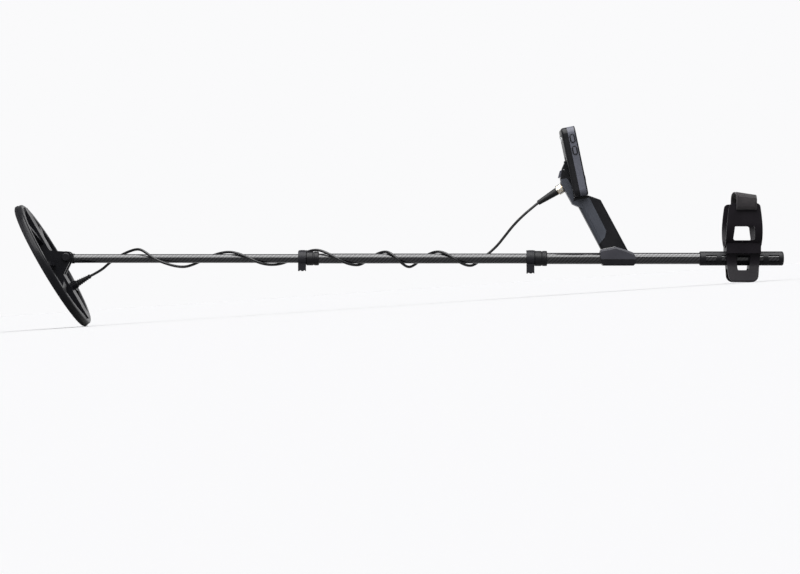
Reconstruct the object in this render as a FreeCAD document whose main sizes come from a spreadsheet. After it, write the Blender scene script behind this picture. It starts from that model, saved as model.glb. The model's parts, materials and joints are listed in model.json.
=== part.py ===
import FreeCAD, Part
import Sketcher

import math
import os
import re

from FreeCAD import Placement, Rotation, Vector

# A telescoping metal detector.  Every piece is drawn in the shaft's own frame, in millimetres:
# X runs along the shaft from the coil's pivot to the rear end, Y to the operator's right and
# Z up.  At the end the whole detector is set down on its coil and its stand, +Z up.

DIMENSIONS = [
    # three shaft sections, one inside the other
    ("tube_wall", 1.0, "wall of every shaft section"),
    ("lower_r", 8.3, "outside radius of the lower section"),
    ("middle_r", 9.45, "outside radius of the middle section"),
    ("upper_r", 10.7, "outside radius of the upper section"),
    ("lower_front", 14.0, "front end of the lower section"),
    ("lock_one", 448.4, "front of the middle section's lock collar"),
    ("lock_two", 874.8, "front of the upper section's lock collar"),
    ("overlap", 62.0, "length that each section stays inside the next"),
    ("shaft_rear", 1339.5, "rear end of the shaft"),
    ("fit_gap", 0.1, "radial clearance of a sliding fit"),
    # lock collars and their levers
    ("collar_len", 23.4, "length of a lock collar behind its clamp ring"),
    ("clamp_len", 14.4, "length of the split clamp ring"),
    ("clamp_wall", 2.8, "wall of the split clamp ring"),
    ("lever_wall", 2.6, "thickness of a lock lever's curved face"),
    ("hinge_r", 3.3, "radius of a lock lever's barrel"),
    ("hinge_pin_r", 1.4, "radius of a lock lever's pin"),
    # search coil, in its own frame: X to the heel, Z out of its top, origin on the pivot
    ("coil_tilt", 60.0, "angle between the coil's plane and the shaft"),
    ("pivot_rise", 2.5, "height of the pivot above the shaft's axis"),
    ("coil_r", 128.0, "outside radius of the coil's housing"),
    ("ring_width", 16.0, "radial width of the coil's ring"),
    ("coil_top", -22.5, "height of the ring's top from the pivot"),
    ("coil_low", -34.5, "height of the housing's underside from the pivot"),
    ("skid_low", -37.5, "height of the skid plate's underside from the pivot"),
    ("spine_half", 20.0, "half width of the coil's spine"),
    ("spine_rise", 2.5, "height of the spine above the ring's top"),
    ("ear_in", 12.0, "distance of an ear's inner face from the middle"),
    ("ear_out", 18.0, "distance of an ear's outer face from the middle"),
    ("bolt_r", 4.0, "radius of the pivot bolt"),
    ("boot_heel", 51.0, "distance of the coil's cable boot from the pivot, to the heel"),
    ("boot_side", 20.0, "distance of the coil's cable boot from the middle"),
    # control pod, in its own frame: X out of the screen, Z up it, origin at its lower edge
    ("pod_lean", 11.7, "angle that the screen leans forward"),
    ("pod_half", 42.0, "half width of the control pod"),
    ("pod_long", 131.0, "length of the control pod"),
    ("pod_deep", 26.0, "thickness of the control pod"),
    ("pod_round", 13.0, "corner radius of the control pod"),
    ("pod_wall", 2.2, "wall of the control pod"),
    ("band_front", -2.0, "front of the pod's side band"),
    ("band_rear", -14.5, "rear of the pod's side band"),
    # handle
    ("grip_half", 17.0, "half width of the grip"),
    ("saddle_half", 20.0, "half width of the saddle that clamps the shaft"),
    ("saddle_facet", 3.6, "width of the facets along the saddle's upper edges"),
    ("saddle_split", -1.5, "height of the joint between the saddle and its cap"),
    # arm rest
    ("track_r", 13.25, "outside radius of the arm rest's track"),
    ("track_front", 1182.8, "front end of the track"),
    ("cuff_mid", 1262.3, "middle of the arm rest along the shaft"),
    ("cuff_r", 47.0, "outside radius of the arm cuff"),
    ("cuff_wall", 3.2, "wall of the arm cuff"),
    ("cuff_centre", 66.0, "height of the arm's centre above the shaft"),
    ("cuff_half", 33.0, "half length of the cuff's foot, along the shaft"),
    ("cuff_half_top", 27.9, "half length of the cuff's upper edge"),
    ("cuff_bow", 2.7, "how far the cuff's front and rear edges bow outwards"),
    ("strap_half", 20.0, "half width of the arm strap"),
    ("cuff_top", 102.0, "height of the cuff's upper edges"),
    ("stand_low", -44.3, "height of the stand's feet"),
    # cable
    ("cable_r", 2.5, "radius of the coil's cable"),
    ("plug_rise", 32.0, "angle of the cable's plug above the shaft"),
    ("plug_x", 923.7, "middle of the plug's ring, along the shaft"),
    ("plug_z", 130.0, "middle of the plug's ring, above the shaft"),
]

doc = FreeCAD.newDocument("MetalDetector")
sheet = doc.addObject("Spreadsheet::Sheet", "dims")
for number, (alias, value, meaning) in enumerate(DIMENSIONS, start=1):
    sheet.set(f"A{number}", meaning)
    sheet.set(f"B{number}", str(value))
    sheet.setAlias(f"B{number}", alias)
doc.recompute()
ALIASES = {alias for alias, value, meaning in DIMENSIONS}

pieces = []          # every sub-part, in the order it is made


def bound(text):
    """An expression in the sheet's words, as another object of the document writes it."""
    return re.sub(r"[a-z]\w*", lambda m: "dims." + m.group() if m.group() in ALIASES else m.group(),
                  str(text))


def size(text):
    """The value of an expression in the sheet's words."""
    return float(sheet.evalExpression(str(text)))


def keep(item, label, place):
    """Make an object a sub-part of the detector."""
    item.Label = label
    item.Placement = place
    pieces.append(item)
    return item


# ---- frames that the pieces are drawn in ----

SHAFT = Placement()
COIL = Placement(Vector(0, 0, size("pivot_rise")), Rotation(Vector(0, 1, 0), size("coil_tilt")))
POD = Placement(Vector(973.5, 0, 118.0), Rotation(Vector(0, 1, 0), -size("pod_lean")))
ACROSS = Placement(Vector(), Rotation(Vector(0, 0, 1), 90))       # a turned piece's X axis along Y
UPRIGHT = Placement(Vector(), Rotation(Vector(0, 1, 0), -90))     # a turned piece's X axis along Z
PLUG = Placement(Vector(size("plug_x"), 0, size("plug_z")), Rotation(Vector(0, 1, 0), -size("plug_rise")))


def at(x, y, z):
    """A placement at a point, whose coordinates are in the sheet's words."""
    return Placement(Vector(size(x), size(y), size(z)), Rotation())


# ---- sketches ----

def new_body(name):
    return doc.addObject("PartDesign::Body", name)


def new_sketch(body, plane, offset="0"):
    """A sketch on one of the body's origin planes, moved along the plane's normal."""
    sketch = body.newObject("Sketcher::SketchObject", body.Name + "_sketch")
    origin_plane = [item for item in body.Origin.OriginFeatures if item.Role == plane][0]
    sketch.AttachmentSupport = (origin_plane, [""])
    sketch.MapMode = "FlatFace"
    sketch.setExpression("AttachmentOffset.Base.z", bound(offset))
    return sketch


def fix(sketch, kind, *where, value):
    """A dimension in a sketch, bound to the sheet."""
    index = sketch.addConstraint(Sketcher.Constraint(kind, *where, size(value)))
    sketch.setExpression(f"Constraints[{index}]", bound(value))


def draw_outline(sketch, corners):
    """A closed outline of straight sides through corners given as (across, up)."""
    first = sketch.GeometryCount
    points = [Vector(size(across), size(up), 0) for across, up in corners]
    count = len(points)
    for i in range(count):
        sketch.addGeometry(Part.LineSegment(points[i], points[(i + 1) % count]))
    for i in range(count):
        sketch.addConstraint(Sketcher.Constraint("Coincident", first + i, 2, first + (i + 1) % count, 1))
        fix(sketch, "DistanceX", -1, 1, first + i, 1, value=corners[i][0])
        fix(sketch, "DistanceY", -1, 1, first + i, 1, value=corners[i][1])


def draw_circle(sketch, centre, radius):
    """A circle about a centre given as (across, up)."""
    index = sketch.addGeometry(Part.Circle(Vector(size(centre[0]), size(centre[1]), 0), Vector(0, 0, 1),
                                           size(radius)))
    fix(sketch, "DistanceX", -1, 1, index, 3, value=centre[0])
    fix(sketch, "DistanceY", -1, 1, index, 3, value=centre[1])
    fix(sketch, "Radius", index, value=radius)


def draw_rounded(sketch, left, right, low, high, radius):
    """A rectangle with four equal round corners."""
    first = sketch.GeometryCount
    x0, x1, y0, y1, r = (size(item) for item in (left, right, low, high, radius))
    sides = [((x0 + r, y0), (x1 - r, y0)), ((x1, y0 + r), (x1, y1 - r)),
             ((x1 - r, y1), (x0 + r, y1)), ((x0, y1 - r), (x0, y0 + r))]
    for start, end in sides:
        sketch.addGeometry(Part.LineSegment(Vector(*start, 0), Vector(*end, 0)))
    for i, (x, y) in enumerate([(x1 - r, y0 + r), (x1 - r, y1 - r), (x0 + r, y1 - r), (x0 + r, y0 + r)]):
        start = math.radians(90 * i - 90)
        circle = Part.Circle(Vector(x, y, 0), Vector(0, 0, 1), r)
        sketch.addGeometry(Part.ArcOfCircle(circle, start, start + math.pi / 2))
    for i in range(4):
        sketch.addConstraint(Sketcher.Constraint("Tangent", first + i, 2, first + 4 + i, 1))
        sketch.addConstraint(Sketcher.Constraint("Tangent", first + 4 + i, 2, first + (i + 1) % 4, 1))
        sketch.addConstraint(Sketcher.Constraint("Vertical" if i % 2 else "Horizontal", first + i))
    for i in range(1, 4):
        sketch.addConstraint(Sketcher.Constraint("Equal", first + 4, first + 4 + i))
    fix(sketch, "Radius", first + 4, value=radius)
    fix(sketch, "DistanceY", -1, 1, first, 1, value=low)
    fix(sketch, "DistanceX", -1, 1, first + 1, 1, value=right)
    fix(sketch, "DistanceY", -1, 1, first + 2, 1, value=high)
    fix(sketch, "DistanceX", -1, 1, first + 3, 1, value=left)


def draw_bowed(sketch, middle, half_low, half_high, low, high, bow):
    """An upright four-sided outline whose left and right sides bow outwards as arcs."""
    first = sketch.GeometryCount
    corners = [(f"{middle} - {half_low}", low), (f"{middle} + {half_low}", low),
               (f"{middle} + {half_high}", high), (f"{middle} - {half_high}", high)]
    points = [Vector(size(across), size(up), 0) for across, up in corners]
    for i in range(4):
        start, end = points[i], points[(i + 1) % 4]
        if i % 2:
            outwards = Vector((end - start).y, -(end - start).x, 0).normalize() * size(bow)
            sketch.addGeometry(Part.Arc(start, (start + end) * 0.5 + outwards, end))
        else:
            sketch.addGeometry(Part.LineSegment(start, end))
    rise, slant = f"(({high}) - ({low}))", f"(({half_low}) - ({half_high}))"
    radius = f"({rise}^2 / 4 + {slant}^2 / 4 + ({bow})^2) / (2 * ({bow}))"
    for i in range(4):
        sketch.addConstraint(Sketcher.Constraint("Coincident", first + i, 2, first + (i + 1) % 4, 1))
    for line, end, corner in ((0, 1, 0), (0, 2, 1), (2, 1, 2), (2, 2, 3)):
        fix(sketch, "DistanceX", -1, 1, first + line, end, value=corners[corner][0])
        fix(sketch, "DistanceY", -1, 1, first + line, end, value=corners[corner][1])
    for arc in (1, 3):
        fix(sketch, "Radius", first + arc, value=radius)


def extrude(body, plane, low, high, loops, remove=False):
    """Pad, or pocket, closed loops from one height to another along the plane's own axis.

    A loop is ("outline", corners), ("circle", centre, radius), ("rounded", left, right, low,
    high, radius) or ("bowed", middle, half_low, half_high, low, high, bow).  On the XZ plane,
    whose normal is -Y, low and high are heights along Y.
    """
    start = f"-({high})" if plane == "XZ_Plane" else low
    sketch = new_sketch(body, plane, start)
    makers = {"outline": draw_outline, "circle": draw_circle, "rounded": draw_rounded, "bowed": draw_bowed}
    for kind, *rest in loops:
        makers[kind](sketch, *rest)
    before = body.Shape.Volume if remove else 0.0
    feature = body.newObject("PartDesign::Pocket" if remove else "PartDesign::Pad", body.Name + "_step")
    feature.Profile = sketch
    feature.setExpression("Length", bound(f"({high}) - ({low})"))
    feature.Reversed = remove
    doc.recompute()
    if remove and body.Shape.Volume > before - 0.01:
        raise RuntimeError(f"a pocket in {body.Name} cuts nothing")
    return feature


def revolve(body, profile, axis="H_Axis"):
    """Turn a profile in the XZ plane: corners are (along, radius) for the X axis, or
    (radius, up) for the Z axis."""
    sketch = new_sketch(body, "XZ_Plane")
    draw_outline(sketch, profile)
    feature = body.newObject("PartDesign::Revolution", body.Name + "_turn")
    feature.Profile = sketch
    feature.ReferenceAxis = (sketch, [axis])
    feature.Angle = 360
    doc.recompute()
    return feature


def soften(body, radius, wanted, kind="Fillet"):
    """Round the edges of a body that a test picks, or chamfer them."""
    names = [f"Edge{i}" for i, edge in enumerate(body.Shape.Edges, start=1) if wanted(edge)]
    feature = body.newObject("PartDesign::" + kind, f"{body.Name}_{kind.lower()}")
    feature.Base = (feature.BaseFeature, names)
    feature.setExpression("Radius" if kind == "Fillet" else "Size", bound(radius))
    doc.recompute()
    return feature


def turned(label, profile, place=SHAFT, axis="H_Axis"):
    body = new_body(label)
    revolve(body, profile, axis)
    return keep(body, label, place)


def slab(label, plane, low, high, loops, place=SHAFT):
    body = new_body(label)
    extrude(body, plane, low, high, loops)
    return keep(body, label, place)


def tube_profile(front, rear, inner, outer):
    return [(front, inner), (rear, inner), (rear, outer), (front, outer)]


def common(label, first, second, place=SHAFT):
    """What two objects share, as one sub-part."""
    shared = doc.addObject("Part::Common", label)
    shared.Base = first
    shared.Tool = second
    doc.recompute()
    return keep(shared, label, place)


def mirror_y(corners):
    """The same corners on the other side of the middle, for a sketch whose second axis is Y."""
    return [(across, f"-({up})") for across, up in corners]


def group(label, place, cylinders):
    """Several like fasteners as separate solids of one sub-part: (radius, length, placement)."""
    parts = []
    for radius, length, where in cylinders:
        rod = doc.addObject("Part::Cylinder", label + "_rod")
        rod.setExpression("Radius", bound(radius))
        rod.setExpression("Height", bound(length))
        rod.Placement = where
        parts.append(rod)
    joined = doc.addObject("Part::MultiFuse", label)
    joined.Shapes = parts
    doc.recompute()
    return keep(joined, label, place)


# ---- search coil ----

RING_IN = "(coil_r - ring_width)"
SPOKES = [
    [("-4.5", "spine_half - 1"), ("4.5", "spine_half - 1"), ("4.5", f"{RING_IN} + 3"),
     ("-4.5", f"{RING_IN} + 3")],
    [("-52", "spine_half - 1"), ("-41", "spine_half - 1"), ("-79", "84"), ("-88", "78")],
    [("34", "spine_half - 1"), ("43", "spine_half - 1"), ("62", "97"), ("52", "102")],
]


def add_web(body, low, high, spine_end):
    """The coil's spine and its six spokes."""
    corners = [(f"-{spine_end}", "-(spine_half - 6)"), (f"-{spine_end} + 8", "-spine_half"),
               (f"{spine_end} - 8", "-spine_half"), (f"{spine_end}", "-(spine_half - 6)"),
               (f"{spine_end}", "spine_half - 6"), (f"{spine_end} - 8", "spine_half"),
               (f"-{spine_end} + 8", "spine_half"), (f"-{spine_end}", "spine_half - 6")]
    extrude(body, "XY_Plane", low, high[0], [("outline", corners)])
    for spoke in SPOKES:
        extrude(body, "XY_Plane", low, high[1], [("outline", spoke)])
        extrude(body, "XY_Plane", low, high[1], [("outline", mirror_y(spoke))])


def make_coil():
    shell = new_body("coil_shell")
    revolve(shell, [(RING_IN, "coil_low"), ("coil_r", "coil_low"), ("coil_r", "coil_top - 4.2"),
                    ("coil_r - 1.2", "coil_top - 1.6"), ("coil_r - 4", "coil_top"),
                    (f"{RING_IN} + 2.6", "coil_top"), (RING_IN, "coil_top - 2.6")], "V_Axis")
    add_web(shell, "coil_low", ("coil_top + spine_rise", "coil_top - 1"), "119")
    for low, high in (("-ear_out", "-ear_in"), ("ear_in", "ear_out")):
        ear = [("-27", "coil_top + 1"), ("27", "coil_top + 1"), ("10.6", "3"), ("-10.6", "3")]
        extrude(shell, "XZ_Plane", low, high, [("outline", ear)])
        extrude(shell, "XZ_Plane", low, high, [("circle", ("0", "0"), "11")])
    extrude(shell, "XY_Plane", "coil_low", "-12", [("circle", ("boot_heel", "boot_side"), "8")])
    extrude(shell, "XZ_Plane", "-ear_out - 1", "ear_out + 1", [("circle", ("0", "0"), "bolt_r + 0.05")],
            remove=True)
    # the winding channel, open below
    extrude(shell, "XY_Plane", "coil_low", "coil_low + 9",
            [("circle", ("0", "0"), "coil_r - 2.5"), ("circle", ("0", "0"), f"{RING_IN} + 2.5")], remove=True)
    extrude(shell, "XY_Plane", "coil_low", "coil_low + 10.5",
            [("rounded", "-116", "116", "-(spine_half - 2.6)", "spine_half - 2.6", "3")], remove=True)
    keep(shell, "coil_shell", COIL)

    base = new_body("coil_base")
    extrude(base, "XY_Plane", "coil_low", "coil_low + 1.5",
            [("circle", ("0", "0"), "coil_r - 2.6"), ("circle", ("0", "0"), f"{RING_IN} + 2.6")])
    extrude(base, "XY_Plane", "coil_low", "coil_low + 1.5",
            [("rounded", "-115.8", "115.8", "-(spine_half - 2.8)", "spine_half - 2.8", "3")])
    keep(base, "coil_base", COIL)

    # transmit and receive windings: two letter D loops that overlap along the spine
    for label, side, low in (("transmit_winding", "", "coil_low + 1.9"),
                             ("receive_winding", "-", "coil_low + 5.4")):
        winding = new_body(label)
        extrude(winding, "XY_Plane", low, f"{low} + 3",
                [("circle", ("0", "0"), "coil_r - 4"), ("circle", ("0", "0"), "coil_r - 12")])
        reach = [("-130", f"{side}12"), ("130", f"{side}12"), ("130", f"{side}130"), ("-130", f"{side}130")]
        extrude(winding, "XY_Plane", f"{low} - 1", f"{low} + 4", [("outline", reach)], remove=True)
        bar = [("-119.6", f"{side}5"), ("119.6", f"{side}5"), ("119.6", f"{side}12"), ("-119.6", f"{side}12")]
        extrude(winding, "XY_Plane", low, f"{low} + 3", [("outline", bar)])
        keep(winding, label, COIL)

    skid = new_body("skid_plate")
    revolve(skid, [(f"{RING_IN} - 0.6", "skid_low + 1.2"), (f"{RING_IN} + 0.8", "skid_low"),
                   ("coil_r - 1", "skid_low"),
                   ("coil_r + 1.3", "skid_low + 1.8"), ("coil_r + 1.3", "coil_low + 3"),
                   ("coil_r + 0.1", "coil_low + 3"), ("coil_r + 0.1", "coil_low"),
                   (f"{RING_IN} - 0.6", "coil_low")], "V_Axis")
    add_web(skid, "skid_low", ("coil_low", "coil_low"), "119")
    keep(skid, "skid_plate", COIL)

    # ribbed strain relief on the coil's cable outlet
    ribs = [("0", "0"), ("0", "6.75")]
    for i in range(6):
        ribs += [(str(2.2 + 4.2 * i), str(6.75 - 0.42 * i)), (str(3.2 + 4.2 * i), str(5.4 - 0.40 * i)),
                 (str(4.6 + 4.2 * i), str(5.3 - 0.40 * i)), (str(5.6 + 4.2 * i), str(6.35 - 0.42 * i))]
    ribs += [("30", "3.95"), ("30", "0")]
    turned("cable_boot", ribs, COIL * at("boot_heel", "boot_side", "-12") * UPRIGHT)

    pivot = at("0", "0", "pivot_rise") * ACROSS
    turned("pivot_bolt", [("-ear_out - 5.5", "0"), ("-ear_out - 5.5", "6.4"), ("-ear_out - 4.3", "7.8"),
                          ("-ear_out", "8.6"), ("-ear_out", "bolt_r"), ("ear_out + 7", "bolt_r"),
                          ("ear_out + 7", "0")],
           pivot)
    turned("pivot_nut", [("ear_out", "bolt_r"), ("ear_out", "9"), ("ear_out + 7.5", "8"),
                         ("ear_out + 8.5", "7"),
                         ("ear_out + 8.5", "0"), ("ear_out + 7", "0"), ("ear_out + 7", "bolt_r")], pivot)


# ---- shaft ----

def make_lower_section():
    yoke = new_body("lower_yoke")
    revolve(yoke, [("9.8", "0"), ("9.8", "lower_r + 1"), ("lower_front", "lower_r + 1"),
                   ("lower_front", "lower_r - tube_wall - 0.05"),
                   ("46", "lower_r - tube_wall - 0.05"), ("48", "5.5"), ("48", "0")])
    tongue = [("-3", "-7"), ("12", "-(lower_r + 0.6)"), ("12", "lower_r + 0.6"), ("-1", "pivot_rise + 9.9")]
    extrude(yoke, "XZ_Plane", "-9", "9", [("outline", tongue)])
    extrude(yoke, "XZ_Plane", "-9", "9", [("circle", ("0", "pivot_rise"), "10")])
    extrude(yoke, "XZ_Plane", "-10", "10", [("circle", ("0", "pivot_rise"), "bolt_r + 0.05")], remove=True)
    keep(yoke, "lower_yoke", SHAFT)
    washers = new_body("friction_washers")
    revolve(washers, [("9", "bolt_r + 0.6"), ("11.7", "bolt_r + 0.6"), ("11.7", "9.4"), ("9", "9.4")])
    mirrored = washers.newObject("PartDesign::Mirrored", "washer_pair")
    mirrored.Originals = [washers.Tip]
    mirrored.MirrorPlane = ([item for item in washers.Origin.OriginFeatures if item.Role == "YZ_Plane"][0],
                            [""])
    washers.Tip = mirrored
    doc.recompute()
    keep(washers, "friction_washers", at("0", "0", "pivot_rise") * ACROSS)
    turned("lower_tube", tube_profile("lower_front", "lock_one + overlap", "lower_r - tube_wall", "lower_r"))
    turned("lower_tube_bush", [("lock_one + overlap - 14", "5"), ("lock_one + overlap + 5", "5"),
                               ("lock_one + overlap + 5", "middle_r - tube_wall - 0.05"),
                               ("lock_one + overlap", "middle_r - tube_wall - 0.05"),
                               ("lock_one + overlap", "lower_r - tube_wall"),
                               ("lock_one + overlap - 14", "lower_r - tube_wall")])


def make_lock(number, front, inner_r, outer_r, pin_y, pin_z, wrap_y, tail_y, tail_low):
    """A collar on the front of a section, its split clamp ring, and the lever that wraps the ring
    and swings outwards on a pin along the shaft."""
    clamp_front = f"({front} - clamp_len)"
    ring_r = f"({inner_r} + fit_gap + clamp_wall)"
    collar_r = f"({outer_r} + 3.5)"
    collar = new_body(f"lock_collar_{number}")
    revolve(collar, [(clamp_front, f"{inner_r} + fit_gap"), (f"{front} + 2", f"{inner_r} + fit_gap"),
                     (f"{front} + 2", outer_r), (f"{front} + collar_len", outer_r),
                     (f"{front} + collar_len", f"{outer_r} + 2.6"), (f"{front} + collar_len - 1.4", collar_r),
                     (f"{front} + 15.5", collar_r), (f"{front} + 14.5", f"{collar_r} - 0.8"),
                     (f"{front} + 13", f"{collar_r} - 0.8"), (f"{front} + 12", collar_r),
                     (f"{front} + 1", collar_r), (front, f"{collar_r} - 1"), (front, ring_r),
                     (clamp_front, ring_r)])
    # two knuckles for the pin, one at each end of the ring
    for low, high in ((clamp_front, f"{clamp_front} + 2.6"), (f"{front} - 2.6", f"{front} + 1.5")):
        lug = [(f"{pin_y} - 3", f"{inner_r} + 0.6"), (f"{pin_y} + 3", f"{inner_r} + 0.6"),
               (f"{pin_y} + 3", f"{pin_z}"), (f"{pin_y} - 3", f"{pin_z}")]
        extrude(collar, "YZ_Plane", low, high, [("outline", lug)])
        extrude(collar, "YZ_Plane", low, high, [("circle", (pin_y, pin_z), "3")])
    # the wide gap that takes the lever's barrel, the narrow slit and the pin's hole
    gap = [(f"{pin_y} - 5", "0"), (f"{pin_y} + 4.2", "0"), (f"{pin_y} + 4.2", "30"), (f"{pin_y} - 5", "30")]
    extrude(collar, "YZ_Plane", f"{clamp_front} + 2.6", f"{front} - 2.6", [("outline", gap)], remove=True)
    slit = [("-8.8", "-0.6"), ("-8.8", "0.6"), ("-20", "0.6"), ("-20", "-0.6")]
    extrude(collar, "YZ_Plane", f"{clamp_front} - 1", f"{front} - 2.6", [("outline", slit)], remove=True)
    extrude(collar, "YZ_Plane", f"{clamp_front} - 1", f"{front} + 1.6",
            [("circle", (pin_y, pin_z), "hinge_pin_r + 0.04")], remove=True)
    keep(collar, f"lock_collar_{number}", SHAFT)

    turned(f"lock_pin_{number}", [("0", "0"), ("0", "hinge_pin_r"), ("clamp_len + 1.4", "hinge_pin_r"),
                                  ("clamp_len + 1.4", "0")], at(clamp_front, pin_y, pin_z))

    lever = new_body(f"lock_lever_{number}")
    face_in = f"({ring_r} + 0.4)"
    face_out = f"({ring_r} + 0.4 + lever_wall)"
    low, high = f"{clamp_front} - 0.8", f"{front} - 0.5"
    extrude(lever, "YZ_Plane", low, high, [("circle", ("0", "0"), face_out), ("circle", ("0", "0"), face_in)])
    # only the left side of the ring stays, from the barrel to the root of the tail
    away = [(f"{pin_y} - 4.4", "1"), ("0", "0"), (wrap_y, "-25"), ("25", "-25"), ("25", "25"),
            (f"{pin_y} - 4.4", "25")]
    extrude(lever, "YZ_Plane", f"{low} - 1", f"{high} + 1", [("outline", away)], remove=True)
    inner_low, inner_high = f"{clamp_front} + 2.9", f"{front} - 2.9"
    neck = [(f"{pin_y} - 8", f"{ring_r} + 0.4"), (f"{pin_y} - 4.6", f"{ring_r} + 0.4"),
            (f"{pin_y} - 2", f"{pin_z} - 1.4"),
            (f"{pin_y} + 0.4", f"{pin_z} + 2.9"), (f"{pin_y} - 8", f"{ring_r} + 3.2")]
    extrude(lever, "YZ_Plane", inner_low, inner_high, [("outline", neck)])
    extrude(lever, "YZ_Plane", inner_low, inner_high, [("circle", (pin_y, pin_z), "hinge_r")])
    tail = [(f"{tail_y} - 3.2", f"{tail_low} + 1.2"), (f"{tail_y} - 2", tail_low),
            (f"{tail_y} + 1", tail_low),
            (f"{tail_y} + 2", f"{tail_low} + 1.2"), (f"{tail_y} + 1.4", f"-{face_in} + 1.6"),
            (f"{tail_y} - 3.6", f"-{face_in} + 2.6")]
    extrude(lever, "YZ_Plane", low, high, [("outline", tail)])
    # finger scallops in the tail's lower edge
    for centre in ("clamp_len * 0.24", "clamp_len * 0.76"):
        extrude(lever, "XZ_Plane", f"{tail_y} - 5", f"{tail_y} + 5",
                [("circle", (f"{clamp_front} + {centre}", f"{tail_low} - 0.6"), "2")], remove=True)
    extrude(lever, "YZ_Plane", f"{clamp_front} - 1.8", f"{front} + 0.6",
            [("circle", (pin_y, pin_z), "hinge_pin_r + 0.05")], remove=True)
    keep(lever, f"lock_lever_{number}", SHAFT)


def make_middle_section():
    turned("middle_tube", tube_profile("lock_one + 2", "lock_two + overlap", "middle_r - tube_wall",
                                       "middle_r"))
    make_lock("1", "lock_one", "lower_r", "middle_r", "3", "12.6", "-4.2", "-7.2", "-23.6")
    turned("middle_tube_bush", [("lock_two + overlap - 14", "6.4"), ("lock_two + overlap + 5", "6.4"),
                                ("lock_two + overlap + 5", "upper_r - tube_wall - 0.15"),
                                ("lock_two + overlap", "upper_r - tube_wall - 0.15"),
                                ("lock_two + overlap", "middle_r - tube_wall"),
                                ("lock_two + overlap - 14", "middle_r - tube_wall")])


def make_upper_section():
    turned("upper_tube", tube_profile("lock_two + 2", "shaft_rear - 3", "upper_r - tube_wall - 0.1",
                                      "upper_r"))
    make_lock("2", "lock_two", "middle_r", "upper_r", "6.4", "12.2", "-10.6", "-9.4", "-28.2")
    turned("end_cap", [("shaft_rear - 17", "6"), ("shaft_rear - 17", "upper_r - tube_wall - 0.1"),
                       ("shaft_rear - 3", "upper_r - tube_wall - 0.1"), ("shaft_rear - 3", "track_r"),
                       ("shaft_rear - 2.4", "track_r"), ("shaft_rear - 0.7", "track_r - 1.9"),
                       ("shaft_rear", "track_r - 4.5"), ("shaft_rear", "0"),
                       ("shaft_rear - 4", "0"), ("shaft_rear - 4", "6")])
    track = new_body("arm_track")
    revolve(track, [("track_front", "upper_r"), ("shaft_rear - 3", "upper_r"), ("shaft_rear - 3", "track_r"),
                    ("track_front + 1.2", "track_r"), ("track_front", "track_r - 1.2")])
    for i in range(5):
        start = f"(track_front + 11.2 + {29.1 * i})"
        window = [(start, "-6"), (f"{start} + 20", "-6"), (f"{start} + 20", "6"), (start, "6")]
        extrude(track, "XZ_Plane", "-20", "20", [("outline", window)], remove=True)
    keep(track, "arm_track", SHAFT)


# ---- handle ----

def make_saddle():
    top = [("998", "saddle_split"), ("996.6", "10"), ("998.4", "16.5"), ("1026", "22"), ("1044", "16.5"),
           ("1058", "11"), ("1063.7", "0"), ("1063.7", "saddle_split")]
    upper = new_body("saddle")
    extrude(upper, "XZ_Plane", "-saddle_half", "saddle_half", [("outline", top)])
    extrude(upper, "YZ_Plane", "980", "1080", [("circle", ("0", "0"), "upper_r")], remove=True)
    soften(upper, "saddle_facet", lambda edge: edge.BoundBox.ZMin > 9 and edge.BoundBox.XLength > 2
           and edge.BoundBox.YLength < 0.1, "Chamfer")
    keep(upper, "saddle", SHAFT)
    below = [("998.6", "saddle_split - 0.1"), ("1063.7", "saddle_split - 0.1"), ("1063.7", "-8"),
             ("1059", "-13.5"),
             ("1003", "-13.5"), ("998.6", "-9")]
    cap = new_body("saddle_cap")
    extrude(cap, "XZ_Plane", "-saddle_half", "saddle_half", [("outline", below)])
    extrude(cap, "YZ_Plane", "980", "1080", [("circle", ("0", "0"), "upper_r")], remove=True)
    soften(cap, "3", lambda edge: edge.BoundBox.ZMax < -13 and edge.BoundBox.XLength > 20)
    keep(cap, "saddle_cap", SHAFT)


GRIP = [("998.6", "16.9"), ("957", "96"), ("945.5", "101"), ("947.9", "112.6"), ("973.5", "117.7"),
        ("998", "109"), ("1048.5", "15.2"), ("1044", "16.9"), ("1026", "22.4")]
SOCKET = [("945.3", "101.4"), ("929.6", "129.6"), ("925.2", "136.6"), ("923", "149"), ("926", "168"),
          ("931.6", "181"), ("933.3", "183"), ("947.9", "113")]


def make_grip():
    """Two hollow halves of the grip, their panels, the battery and the screws."""
    bay = [("969", "98"), ("999", "38"), ("1026", "52"), ("994", "104")]
    for side, sign in (("left", "-"), ("right", "")):
        low, high = ("-grip_half", "0") if sign else ("0", "grip_half")
        shell = new_body(f"grip_{side}_shell")
        extrude(shell, "XZ_Plane", low, high, [("outline", GRIP)])
        outer = size(f"{sign}grip_half")
        soften(shell, "7",
               lambda edge: abs(edge.BoundBox.YMin - outer) < 0.01 and abs(edge.BoundBox.YMax - outer) < 0.01
               and edge.BoundBox.ZLength > 60)
        inner = ("-(grip_half - 3)", "0") if sign else ("0", "grip_half - 3")
        extrude(shell, "XZ_Plane", *inner, [("outline", bay)], remove=True)
        keep(shell, f"grip_{side}_shell", SHAFT)
        faces = ("-grip_half - 0.9", "-grip_half") if sign else ("grip_half", "grip_half + 0.9")
        panel = [("999.2", "31.7"), ("963.4", "99.4"), ("958.5", "104.5"), ("967", "110.8"), ("976.5", "113"),
                 ("1008", "51"), ("1005.5", "39")]
        slab(f"grip_{side}_panel", "XZ_Plane", *faces, [("outline", panel)])
    lean = Rotation(Vector(0, 1, 0), -28.5)
    cell_foot = Placement(Vector(1011.5, 0, 48.5), lean)
    turned("battery_cell", [("0", "0"), ("0", "11"), ("55", "11"), ("55", "0")], cell_foot * UPRIGHT)


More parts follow.
